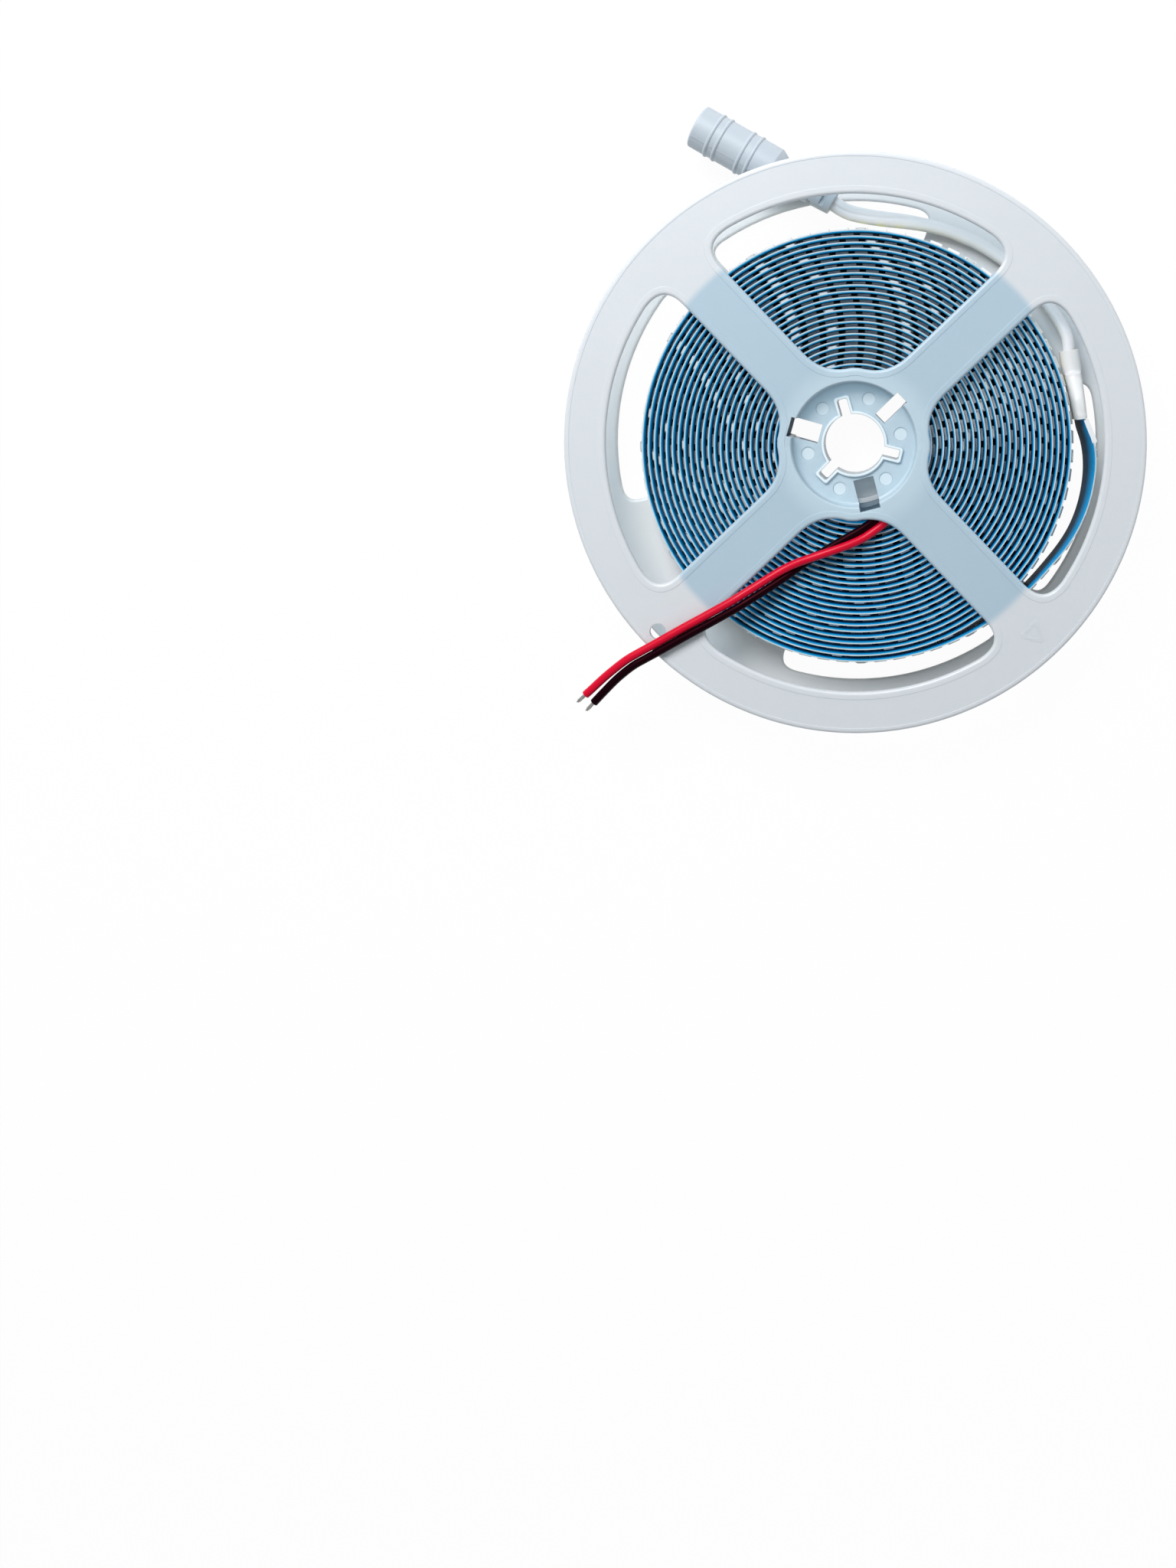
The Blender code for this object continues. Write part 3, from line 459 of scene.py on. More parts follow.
def from_roll_axis(tree, place):
    """How far a place is from the roll's axis."""
    inputs = {0: place, 1: (1, 1, 0), 2: (-ROLL_SHIFT.x, -ROLL_SHIFT.y, 0)}
    beside = add_node(tree, "VectorMath", inputs, operation="MULTIPLY_ADD")["Vector"]
    return add_node(tree, "VectorMath", {0: beside}, operation="LENGTH")["Value"]


def milky(name, own_colour, painted_roll_tint, painted_light_by_hub, shade_from_z, shade_full_z):
    """Milky polystyrene, with painted light and shade.

    Over the roll a painted blue tint stands in for the liner's light showing through it. Nearer the hub it is
    painted paler, as painted light. Deep inside the hub it is painted darker from one height to another, as
    painted shade.
    """
    material = new_finish(
        name, own_colour, 0.36, drift=0.015, drift_scale=55.0, grain=0.05, grain_scale=900.0
    )
    tree, shader, colour, place = shader_of(material)
    reach = from_roll_axis(tree, place)
    height = add_node(tree, "SeparateXYZ", {"Vector": place})["Z"]
    # Painted light and shade: the blue tint over the roll, the paler colour near the hub, and the darker
    # colour deep inside the hub.
    for measure, start, end, other in (
        (reach, TINT_TO, TINT_FROM, painted_roll_tint),
        (reach, PALE_TO, PALE_FROM, painted_light_by_hub),
        (height, shade_from_z, shade_full_z, HUB_PAINTED_SHADE),
    ):
        between = {"From Min": start, "From Max": end, "Value": measure}
        share = add_node(tree, "MapRange", between, interpolation_type="SMOOTHSTEP")["Result"]
        blend = {"A": colour, "B": (*other, 1), "Factor": share}
        colour = add_node(tree, "Mix", blend, data_type="RGBA")["Result"]
    feed(tree, shader, {
        "Base Color": colour,
        "Subsurface Weight": 0.35,
        "Subsurface Radius": (1.0, 1.0, 1.1),
        "Subsurface Scale": 1.6 * MM,
    })
    lit = add_node(tree, "LightPath", {})["Is Shadow Ray"]
    through = add_node(tree, "Math", {0: lit, 1: LET_THROUGH}, operation="MULTIPLY")["Value"]
    clear = add_node(tree, "BsdfTransparent", {"Color": (0.88, 0.96, 1.0, 1)})["BSDF"]
    seen = add_node(tree, "MixShader", {"Fac": through, 1: shader.outputs["BSDF"], 2: clear})["Shader"]
    feed(tree, tree.nodes["Material Output"], {"Surface": seen})
    return material


RIM_UP = 0.05 * MM
RIM_INSET = 0.2 * MM
RIM_PAST_BORE = 0.12 * MM
FINE_ROUND = 0.02 * MM


def collar_rim(name, low, high):
    """The flat rim on the collar round the bore, smoother than the rest and painted paler as a highlight."""
    loops = [keyed_loop(COLLAR_WALL - RIM_INSET), keyed_loop(RIM_PAST_BORE)]
    return moulded_outline(name, loops, low, high, FINE_ROUND, 1)


# The collar's rim is painted paler: a painted highlight.
rim_painted_highlight = new_finish("painted_highlight_rim", (0.78, 0.86, 0.90), 0.3, drift=0.03, drift_scale=300.0)
# The rear half is painted lighter than the front half's same plastic: painted light in the shade behind the
# front half. Its blue tint over the roll, its paler hub and its darkening deep inside the hub are painted
# light and shade.
rear_plastic = milky(
    "milky_rear",
    own_colour=(0.72, 0.745, 0.765),
    painted_roll_tint=(0.59, 0.65, 0.69),
    painted_light_by_hub=(0.66, 0.72, 0.75),
    shade_from_z=2.2 * MM,
    shade_full_z=4.0 * MM,
)
rear = add_piece("rear_half", moulded_half("rear_half", rear_windows, rear=True), "shell", rear_plastic)
rim_low = RECESS_DEPTH - COLLAR_RISE - RIM_UP
rear_rim = add_piece("rear_rim", collar_rim("rear_rim", rim_low, rim_low + 2 * RIM_UP), "shell", rim_painted_highlight)
for piece in (rear, rear_rim):
    soften(piece)
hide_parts("rear_flange")


# The strip: a white flexible printed board with a blue release liner on its back, wound outwards as one
# spiral. Its lamps face outwards and the liner faces the hub. The loose end leaves the roll at the bottom,
# stands away from it on the right, where its top edge leans outwards, and turns in where its sleeve sits.
STRIP_WIDTH = 10.0 * MM
STRIP_THICK = 0.45 * MM
LINER_THICK = 0.19 * MM
LINER_SHORT = 0.06 * MM
LED_LONG = 3.5 * MM
LED_SHORT = 2.8 * MM
LED_HIGH = 0.8 * MM
LED_PITCH = 4.167 * MM
LEDS_IN_UNIT = 3
TURN_SLACK = 0.066 * MM
ROLL_HUB_GAP = 1.345 * MM
ROLL_START = 330.0
ROLL_TURNS = 23.875
ROLL_Z = PLATE + SEAT
TAIL_LIFT = 0.6 * MM
# The loose end: degrees past the roll, and in mm how far its foot stands out and its top edge leans out.
TAIL_ROUTE = (
    (0, 0.0, 0.0), (15, 0.35, 0.0), (28, 1.0, 0.0), (36, 1.45, 0.0), (43, 2.0, 0.1),
    (49, 2.75, 0.3), (54, 3.25, 0.45), (60, 3.42, 0.75), (66, 3.25, 1.05), (71, 2.85, 1.35),
    (75.5, 2.15, 1.5), (79.5, 1.2, 1.25), (83.0, 0.96, 0.7),
)
STATION = 1.1 * MM
EDGE_WANDER = 0.09 * MM
EDGE_WANDER_EVERY = 140
TURN_WANDER = 0.035 * MM
TURN_WANDER_EVERY = 47
WANDER_GROWS_OVER = 90
WANDER_FADES_OVER = 25


def smooth_through(points, samples):
    """Points along a Catmull-Rom curve through the given ones."""
    ends = [points[0] * 2 - points[1]] + list(points) + [points[-1] * 2 - points[-2]]
    found = []
    for a, b, c, d in zip(ends, ends[1:], ends[2:], ends[3:]):
        square = 2 * a - 5 * b + 4 * c - d
        cube = 3 * b - a - 3 * c + d
        for t in [j / samples for j in range(samples)]:
            found.append(0.5 * (2 * b + (c - a) * t + square * t**2 + cube * t**3))
    return found + [points[-1].copy()]


def between_steps(steps, x):
    """The row of a table at this x, between its two neighbours."""
    for a, b in zip(steps, steps[1:]):
        if a.x <= x <= b.x:
            return a.lerp(b, (x - a.x) / (b.x - a.x))
    return steps[-1]


def wound_stations():
    """(angle, inner face's radius, lean, rise above the rear plate) from the hub to the loose end."""
    pitch = STRIP_THICK + LED_HIGH + TURN_SLACK
    full = ROLL_TURNS * 360
    tail = smooth_through([Vector((past, out * MM, lean * MM)) for past, out, lean in TAIL_ROUTE], 8)
    found = []
    past_start = 0.0
    while past_start < full + TAIL_ROUTE[-1][0]:
        past = max(0.0, past_start - full)
        _, out, lean = between_steps(tail, past)
        radius = BARREL_R + ROLL_HUB_GAP + pitch * past_start / 360 + out
        settled = min(1.0, past_start / WANDER_GROWS_OVER) * max(0.0, 1 - past / WANDER_FADES_OVER)
        wander = noise.noise(Vector((past_start / TURN_WANDER_EVERY, 3.0, 1.0)))
        edge = noise.noise(Vector((past_start / EDGE_WANDER_EVERY, 9.0, 5.0)))
        rise = ROLL_Z + TAIL_LIFT * (past / TAIL_ROUTE[-1][0]) ** 2 + EDGE_WANDER * (edge + 0.4) * settled
        found.append((ROLL_START + past_start, radius + TURN_WANDER * wander * settled, lean, rise))
        past_start += math.degrees(STATION / radius)
    return found


stations = wound_stations()


def strip_point(station, out, up):
    """A point of the strip at one station, this far out from its inner face and this far up its width."""
    angle, radius, lean, rise = station
    place = ROLL_SHIFT + polar(radius + out + lean * up / STRIP_WIDTH, angle)
    return Vector((place.x, place.y, rise + up))


def skinned(name, rings):
    """A skin through like rings of points, closed at both ends."""
    sides = len(rings[0])
    points = [point for ring in rings for point in ring]
    faces = []
    for first in range(0, len(points) - sides, sides):
        for i in range(sides):
            near = first + i
            beside = first + (i + 1) % sides
            faces.append((near, beside, beside + sides, near + sides))
    faces += [tuple(range(sides))[::-1], tuple(range(len(points) - sides, len(points)))]
    mesh = bpy.data.meshes.new(name)
    mesh.from_pydata(points, [], faces)
    return outwards(mesh)


def ribbon(name, inner, outer, short):
    """A band along the strip, from one distance to another. Its cut edges have the second finish."""
    corners = ((inner, short), (outer, short), (outer, STRIP_WIDTH - short), (inner, STRIP_WIDTH - short))
    mesh = skinned(name, [[strip_point(station, out, up) for out, up in corners] for station in stations])
    walls = len(mesh.polygons) - 2
    mesh.polygons.foreach_set("material_index", [1 - i % 2 for i in range(walls)] + [1, 1])
    return mesh


strip_line = [strip_point(station, STRIP_THICK, STRIP_WIDTH / 2) for station in stations[::-1]]
strip_up = [strip_point(station, 0, STRIP_WIDTH) - strip_point(station, 0, 0) for station in stations[::-1]]
strip_lengths = [0.0]
for a, b in zip(strip_line, strip_line[1:]):
    strip_lengths.append(strip_lengths[-1] + (b - a).length)


def seat_at(length, start=0):
    """A seat on the outer face (x along, y out, z up), this far from the loose end, and its station."""
    i = start
    while i < len(strip_line) - 3 and strip_lengths[i + 1] < length:
        i += 1
    share = (length - strip_lengths[i]) / (strip_lengths[i + 1] - strip_lengths[i])
    place = strip_line[i].lerp(strip_line[i + 1], share)
    along = (strip_line[i + 1] - strip_line[max(i - 1, 0)]).normalized()
    out = strip_up[i].lerp(strip_up[i + 1], share).cross(along).normalized()
    stand = Matrix((along, out, along.cross(out))).transposed().to_4x4()
    return Matrix.Translation(place) @ stand, i


def template(parts):
    """Small boxes as one template: each (size, middle, chamfer, finish index)."""
    points, faces, finishes = [], [], []
    for size, middle, chamfer, finish in parts:
        work = bmesh.new()
        bmesh.ops.create_cube(work, size=1.0, matrix=Matrix.Translation(middle) @ Matrix.Diagonal((*size, 1)))
        if chamfer:
            bmesh.ops.bevel(work, geom=work.edges[:], offset=chamfer, segments=1, affect="EDGES")
        bmesh.ops.recalc_face_normals(work, faces=work.faces)
        first = len(points)
        points += [v.co.copy() for v in work.verts]
        faces += [[first + v.index for v in face.verts] for face in work.faces]
        finishes += [finish] * len(work.faces)
        work.free()
    return points, faces, finishes


def repeated(name, placed):
    """One mesh of many copies: each (template, matrix)."""
    points, faces, finishes = [], [], []
    for (own_points, own_faces, own_finishes), matrix in placed:
        first = len(points)
        points += [matrix @ point for point in own_points]
        faces += [[first + index for index in face] for face in own_faces]
        finishes += own_finishes
    mesh = bpy.data.meshes.new(name)
    mesh.from_pydata(points, [], faces)
    mesh.polygons.foreach_set("material_index", finishes)
    return outwards(mesh)


def dull(name, colour, roughness, drift, drift_scale, mirror):
    """A surface that mirrors little light at a grazing angle, as matt film and cut edges do."""
    return new_finish(name, colour, roughness, drift, drift_scale, grain=0.06, mirror=mirror)


def painted_shade_below(material, low_z, high_z, share):
    """The film is painted darker lower down: painted shade below its lit top edge."""
    tree, shader, colour, place = shader_of(material)
    height = add_node(tree, "SeparateXYZ", {"Vector": place})["Z"]
    between = {"From Min": low_z, "From Max": high_z, "To Min": share, "Value": height}
    fade = add_node(tree, "MapRange", between)["Result"]
    shaded_colour = add_node(tree, "VectorMath", {"Vector": colour, "Scale": fade}, operation="SCALE")["Vector"]
    feed(tree, shader, {"Base Color": shaded_colour})


liner_blue = dull("blue_release_liner", (0.004, 0.36, 0.78), 0.5, 0.1, 90.0, 0.03)
# The liner is painted darker towards its lower edge: painted shade.
painted_shade_below(liner_blue, 6.5 * MM, 12.0 * MM, 0.12)
liner_edge = dull("liner_cut_edge", (0.012, 0.32, 0.62), 0.6, 0.15, 300.0, 0.05)
board_white = dull("white_board", (0.80, 0.83, 0.85), 0.45, 0.04, 120.0, 0.3)
board_edge = dull("board_cut_edge", (0.50, 0.60, 0.65), 0.7, 0.2, 300.0, 0.1)
for name, inner, outer, short, finishes in (
    ("strip_liner", 0.0, LINER_THICK, LINER_SHORT, (liner_blue, liner_edge)),
    ("strip_board", LINER_THICK, STRIP_THICK, 0.0, (board_white, board_edge)),
):
    band = add_piece(name, ribbon(name, inner, outer, short), "strip", *finishes)
    soften(band)
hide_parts("led_strip_roll")


# The lamps on the strip: moulded packages with a yellow phosphor window, three to a unit, soldered at both
# ends. Each unit has a chip resistor near one edge, a white ceramic body with a black face, and copper pads
# at its cut lines.
LENS_SIDE = 2.0 * MM
SOLDER_HIGH = 0.25 * MM
RESISTOR_OFF = 3.9 * MM
RESISTOR = (1.8 * MM, 0.42 * MM, 1.0 * MM)
RESISTOR_FACE = 0.05 * MM
RESISTOR_END = 0.4 * MM
PAD_OFF = 3.6 * MM
PAD = (3.65 * MM, 0.03 * MM, 1.2 * MM)
PRINT_HIGH = 0.012 * MM
PRINT_WIDE = 0.16 * MM
LENS_THICK = 0.04 * MM
LENS_TALL = LENS_SIDE * 1.2
SOLDER = (LED_SHORT * 0.62, SOLDER_HIGH, 0.35 * MM)
SOLDER_OFF = LED_LONG / 2 + 0.1 * MM
BOX_WIDE = LED_SHORT + 0.75 * MM
BOX_TALL = LED_LONG + 1.15 * MM
CUT_DASH = 0.55 * MM
CUT_DASHES_AT = (-2.5 * MM, -1.5 * MM, 1.5 * MM, 2.5 * MM)
SIGN_SIZE = 0.9 * MM
SIGN_AT = 2.7 * MM


def printed(lines):
    """Flat printed lines on the board: each (width, height, place along, place up)."""
    return template([((wide, PRINT_HIGH, tall), (x, 0, z), 0.0, 0) for wide, tall, x, z in lines])


lamp = template((
    ((LED_SHORT, LED_HIGH, LED_LONG), (0, LED_HIGH / 2, 0), 0.1 * MM, 0),
    ((LENS_SIDE, LENS_THICK, LENS_TALL), (0, LED_HIGH, 0), 0.0, 1),
    (SOLDER, (0, SOLDER_HIGH / 2, SOLDER_OFF), 0.08 * MM, 2),
    (SOLDER, (0, SOLDER_HIGH / 2, -SOLDER_OFF), 0.08 * MM, 2),
))
resistor_end = (RESISTOR_END, RESISTOR[1] + 0.04 * MM, RESISTOR[2] + 0.06 * MM)
resistor = template((
    (RESISTOR, (0, RESISTOR[1] / 2, 0), 0.05 * MM, 0),
    ((RESISTOR[0] * 0.7, RESISTOR_FACE, RESISTOR[2] * 0.9), (0, RESISTOR[1], 0), 0.0, 1),
    (resistor_end, (RESISTOR[0] / 2, RESISTOR[1] / 2, 0), 0.1 * MM, 2),
    (resistor_end, (-RESISTOR[0] / 2, RESISTOR[1] / 2, 0), 0.1 * MM, 2),
))
pad = template(((PAD, (0, 0, 0), 0.0, 0),))
lamp_outline = printed([
    (BOX_WIDE, PRINT_WIDE, 0, BOX_TALL / 2),
    (BOX_WIDE, PRINT_WIDE, 0, -BOX_TALL / 2),
    (PRINT_WIDE, BOX_TALL, BOX_WIDE / 2, 0),
    (PRINT_WIDE, BOX_TALL, -BOX_WIDE / 2, 0),
])
cut_marks = printed([
    *[(PRINT_WIDE, CUT_DASH, 0, z) for z in CUT_DASHES_AT],
    (SIGN_SIZE, PRINT_WIDE, SIGN_AT, PAD_OFF),
    (SIGN_SIZE, PRINT_WIDE, SIGN_AT, -PAD_OFF),
    (PRINT_WIDE, SIGN_SIZE, SIGN_AT, -PAD_OFF),
])
lamps, resistors, pads, prints = [], [], [], []
printed_length = 2 * math.pi * 50 * MM * 1.4
length = LED_PITCH
index = 0
count = 0
while length < strip_lengths[-1] - LED_PITCH:
    seat, index = seat_at(length, index)
    lamps.append((lamp, seat))
    outer_turn = length < printed_length
    if outer_turn:
        prints.append((lamp_outline, seat))
    if count % LEDS_IN_UNIT == 1:
        edge = 1 if count % (2 * LEDS_IN_UNIT) == 1 else -1
        resistors.append((resistor, seat @ Matrix.Translation((0, 0, edge * RESISTOR_OFF))))
    if count % LEDS_IN_UNIT == 2 and outer_turn:
        cut, _ = seat_at(length + LED_PITCH / 2, index)
        pads += [(pad, cut @ Matrix.Translation((0, 0, side * PAD_OFF))) for side in (1, -1)]
        prints.append((cut_marks, cut))
    length += LED_PITCH
    count += 1
lamp_grey = dull("lamp_package", (0.74, 0.75, 0.75), 0.5, 0.05, 400.0, 0.2)
ceramic = new_finish("white_ceramic", (0.52, 0.55, 0.57), 0.5, drift=0.05, drift_scale=500.0)
phosphor = new_finish(
    "yellow_phosphor", (0.80, 0.78, 0.20), 0.22,
    drift=0.10, drift_scale=700.0, grain=0.08, grain_scale=4000.0,
)
solder = new_finish(
    "solder", (0.74, 0.74, 0.75), 0.28, drift=0.08, drift_scale=600.0, grain=0.2, metallic=1.0
)
chip_black = new_finish("chip_black", (0.03, 0.03, 0.035), 0.4, drift=0.2, drift_scale=500.0, grain=0.1)
copper = new_finish(
    "bare_copper", (0.90, 0.52, 0.36), 0.3, drift=0.08, drift_scale=300.0, grain=0.12, metallic=1.0
)
print_black = new_finish("printed_black", (0.03, 0.03, 0.04), 0.5, drift=0.2, drift_scale=400.0)
for name, placed, finishes in (
    ("strip_lamps", lamps, (lamp_grey, phosphor, solder)),
    ("strip_resistors", resistors, (ceramic, chip_black, solder)),
    ("strip_pads", pads, (copper,)),
    ("strip_printing", prints, (print_black,)),
):
    piece = add_piece(name, repeated(name, placed), "strip", *finishes)
    piece.data.shade_flat()


# The front half, which plugs over the rear half's spigot once the strip's inner end is in place.
# It is the same milky moulding with four like windows, and a small hole near the rim for a tie or a lead.
WIRE_HOLE_R = 1.8 * MM
WIRE_HOLE_SIDES = 40
WIRE_HOLE_AT = 59.1 * MM
MARK_AT = 56.3 * MM
MARK_SIDE = 4.6 * MM
MARK_SHARES = (0.58, 0.36)
MARK_NIP = 9
MARK_FOOT = 0.1 * MM
MARK_RISE = 0.07 * MM
PIN_FACE_GAP = 0.12 * MM


def front_windows(grow):
    half = SPOKE_WIDTH / 2
    turns = [SPOKE_TURN + 90 * i for i in range(4)]
    return [window_loop((turn, half), (turn + 90, -half), WINDOW_OUTER_CORNER, grow) for turn in turns]


def plain_mark():
    """A small raised triangle in outline, the kind of bare mark that a mould leaves."""
    centre = polar(MARK_AT, SPOKE_TURN + 270)
    turns = [SPOKE_TURN + 272 + 120 * i + nip for i in range(3) for nip in (-MARK_NIP, MARK_NIP)]
    loops = [[centre + polar(MARK_SIDE * share, turn) for turn in turns] for share in MARK_SHARES]
    top = REEL_HIGH - PANEL_SUNK
    return moulded_outline("plain_mark", loops, top - MARK_FOOT, top + MARK_RISE, FINE_ROUND, 1)


# Its blue tint over the roll, its paler hub and its darkening deep inside the hub are painted light and
# shade.
front_plastic = milky(
    "milky_front",
    own_colour=(0.65, 0.68, 0.71),
    painted_roll_tint=(0.42, 0.54, 0.63),
    painted_light_by_hub=(0.49, 0.61, 0.69),
    shade_from_z=11.2 * MM,
    shade_full_z=9.6 * MM,
)
front = add_piece("front_half", moulded_half("front_half", front_windows, rear=False), "shell", front_plastic)
mark = add_piece("front_half_mark", plain_mark(), "shell", front_plastic)
# The mould's round pins left a paler, smoother face in the floor of the hub's cup.
pin_floor = REEL_HIGH - RECESS_DEPTH - PIN_MARK_DEEP
pin_outlines = pin_loops(PIN_MARK_R - PIN_FACE_GAP)
pin_faces = moulded_outline("pin_faces", pin_outlines, pin_floor - FINE_ROUND, pin_floor + FINE_ROUND)
pin_pale = new_finish("pin_face", (0.62, 0.73, 0.79), 0.3, drift=0.06, drift_scale=300.0)
pins = add_piece("front_pin_faces", pin_faces, "shell", pin_pale)
rim_high = REEL_HIGH - rim_low
rim_mesh = collar_rim("front_rim", rim_high - 2 * RIM_UP, rim_high)
# The painted highlight on the front collar's rim.
front_rim = add_piece("front_rim", rim_mesh, "shell", rim_painted_highlight)
for piece in (front, mark, front_rim, pins):
    soften(piece)
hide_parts("front_flange")


# The sleeve over the joint of the strip's outer end and the power cable: white tubing shrunk on with hot air.
# It is tall and flat over the strip, waisted, and round with a cut edge where the cable goes in.
SLEEVE_LENGTH = 13.9 * MM
SLEEVE_WALL = 0.35 * MM
SLEEVE_TALL = STRIP_WIDTH + 2 * SLEEVE_WALL
SLEEVE_BASE_Z = ROLL_Z + TAIL_LIFT + STRIP_WIDTH / 2
SLEEVE_MOUTH_D = 4.35 * MM
SLEEVE_MOUTH_Z = 6.6 * MM
SLEEVE_WAIST_Z = (SLEEVE_BASE_Z + SLEEVE_MOUTH_Z) / 2
SLEEVE_PAST_STRIP = 0.85 * MM
SLEEVE_OVERLAP = 1.2 * MM
SLEEVE_TURN = 99.1
SLEEVE_SIDES = 56
SLEEVE_CREASE = 0.02
last_angle, last_radius, last_lean, last_rise = stations[-1]
sleeve_foot = ROLL_SHIFT + polar(last_radius + (STRIP_THICK + last_lean) / 2, last_angle)
sleeve_foot += polar(SLEEVE_PAST_STRIP, SLEEVE_TURN)
CABLE_D = 3.4 * MM


def shrunk_sleeve():
    """The sleeve from its flat end, drawn a little over the strip, to the cut edge of its mouth."""
    along = polar(1.0, SLEEVE_TURN).to_3d()
    across = polar(1.0, SLEEVE_TURN - 90).to_3d()
    foot = sleeve_foot.to_3d()
    sections = [Vector(values) for values in (
        (-SLEEVE_OVERLAP / SLEEVE_LENGTH, 2.7 * MM, SLEEVE_TALL, SLEEVE_BASE_Z, 4.0),
        (0.0, 2.85 * MM, SLEEVE_TALL, SLEEVE_BASE_Z, 3.9),
        (0.22, 3.1 * MM, SLEEVE_TALL - SLEEVE_WALL, SLEEVE_BASE_Z, 3.6),
        (0.45, 3.6 * MM, 8.5 * MM, SLEEVE_WAIST_Z, 3.0),
        (0.58, 3.75 * MM, 6.6 * MM, SLEEVE_WAIST_Z, 2.4),
        (0.62, 3.7 * MM, 6.2 * MM, SLEEVE_WAIST_Z, 2.3),
        (0.65, 4.1 * MM, 5.2 * MM, SLEEVE_MOUTH_Z, 2.1),
        (0.72, 4.3 * MM, 4.6 * MM, SLEEVE_MOUTH_Z, 2.0),
        (1.0, SLEEVE_MOUTH_D, SLEEVE_MOUTH_D, SLEEVE_MOUTH_Z, 2.0),
    )]
    rings = []
    for share, wide, high, z, power in smooth_through(sections, 6):
        ring = []
        for i in range(SLEEVE_SIDES):
            angle = 2 * math.pi * i / SLEEVE_SIDES
            flat = math.cos(angle)
            tall = math.sin(angle)
            side = math.copysign(abs(flat) ** (2 / power), flat)
            top = math.copysign(abs(tall) ** (2 / power), tall)
            crease = 1 + SLEEVE_CREASE * noise.noise(Vector((share * 14, flat * 2, tall * 2)))
            place = foot + along * SLEEVE_LENGTH * share + across * wide / 2 * side * crease
            ring.append(place + Vector((0, 0, z + high / 2 * top * crease)))
        rings.append(ring)
    mouth = foot + along * SLEEVE_LENGTH + Vector((0, 0, SLEEVE_MOUTH_Z))
    rim = rings[-1]
    for inward, back in ((0.95, -0.04 * MM), (0.86, 0.05 * MM), (0.84, 0.9 * MM)):
        rings.append([mouth + (point - mouth) * inward - along * back for point in rim])
    return skinned("shrunk_sleeve", rings)


sleeve_white = new_finish(
    "white_shrink_tube", (0.71, 0.73, 0.74), 0.42,
    drift=0.04, drift_scale=150.0, grain=0.12, grain_scale=700.0,
)
sleeve_shader = sleeve_white.node_tree.nodes["Principled BSDF"]
sleeve_shader.inputs["Subsurface Weight"].default_value = 0.2
sleeve_shader.inputs["Subsurface Scale"].default_value = 0.8 * MM
sleeve = add_piece("shrunk_sleeve", shrunk_sleeve(), "sleeve", sleeve_white)
soften(sleeve)
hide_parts("strip_end_sleeve")


# A short piece of white tape on the outer face of the strip, which holds the liner's top edge below the
# sleeve. It is thin cloth tape, pressed on by hand.
TAPE_LENGTH = 5.3 * MM
TAPE_FROM_END = 0.6 * MM
TAPE_THICK = 0.14 * MM
TAPE_TALL = 1.6 * MM
TAPE_PAST_EDGE = 0.05 * MM
TAPE_STANDS_OFF = 0.5 * MM
TAPE_WANDER = 0.05 * MM
TAPE_STEPS = 8


def tape_strip():
    rings = []
    for i in range(TAPE_STEPS + 1):
        seat, _ = seat_at(TAPE_FROM_END + TAPE_LENGTH * i / TAPE_STEPS)
        top = STRIP_WIDTH / 2 + TAPE_PAST_EDGE
        lift = TAPE_WANDER * noise.noise(Vector((i * 0.9, 4.0, 7.0)))
        corners = (
            (0, top - TAPE_TALL),
            (TAPE_THICK + lift, top - TAPE_TALL),
            (TAPE_THICK + TAPE_STANDS_OFF, top),
            (-STRIP_THICK, top),
        )
        rings.append([seat @ Vector((0, out, up)) for out, up in corners])
    return skinned("strip_tape", rings)


tape_white = new_finish("white_tape", (0.80, 0.82, 0.84), 0.5, drift=0.04, drift_scale=300.0, grain=0.2)
tape = add_piece("strip_tape", tape_strip(), "strip", tape_white)
soften(tape)


# The power socket on the cable's end: white vinyl moulded over a hard liner, with two pairs of grip rings,
# a coned neck and a slotted strain relief. A parting line of the mould runs along each side.
SOCKET_R = 4.85 * MM
SOCKET_LENGTH = 19.4 * MM
SOCKET_TURN = 150.3
SOCKET_TAPER = 2.3 * MM
SOCKET_EDGE = 0.5 * MM
RING_PLACES = (4.4 * MM, 6.4 * MM, 12.0 * MM, 14.2 * MM)
RING_RISE = 0.28 * MM
RING_HALF = 0.45 * MM
RING_STEPS = 6
SOCKET_SIDES = 96
RELIEF_LENGTH = 12.6 * MM
RELIEF_R = 3.15 * MM
RELIEF_END_R = 2.65 * MM
RELIEF_CORE_R = 1.95 * MM
RELIEF_SLOTS = 4
RELIEF_SLOT = 1.1 * MM
RELIEF_END = (-4.8 * MM, 52.7 * MM)
LINER_R = 3.9 * MM
LINER_DEPTH = 10.5 * MM
JACK_R = 2.9 * MM
JACK_DEPTH = 9.3 * MM
JACK_CHAMFER = 0.3 * MM
LINER_FIT = 0.02 * MM
LINER_BACK = 0.05 * MM
LINER_HOLE_R = 1.05 * MM
PIN_R = 1.0 * MM
PIN_ROUND = 0.45 * MM
PIN_BACK = 1.2 * MM
LEAF_LENGTH = 7.5 * MM
LEAF_HALF = 0.7 * MM
LEAF_IN = 2.1 * MM
LEAF_OUT = 2.4 * MM
LEAF_BOW = 0.12 * MM
LEAF_STEPS = 12
SEAM_TURN = 54.5
SEAM_WIDE = 0.14 * MM
SEAM_DEEP = 0.2 * MM
SOCKET_FACE = RELIEF_LENGTH + SOCKET_TAPER + SOCKET_LENGTH

socket_turn = Matrix.Rotation(math.radians(SOCKET_TURN), 4, "Z") @ Matrix.Rotation(math.radians(90), 4, "Y")
socket_frame = Matrix.Translation((*RELIEF_END, PLATE + SEAT + SOCKET_R + RING_RISE)) @ socket_turn


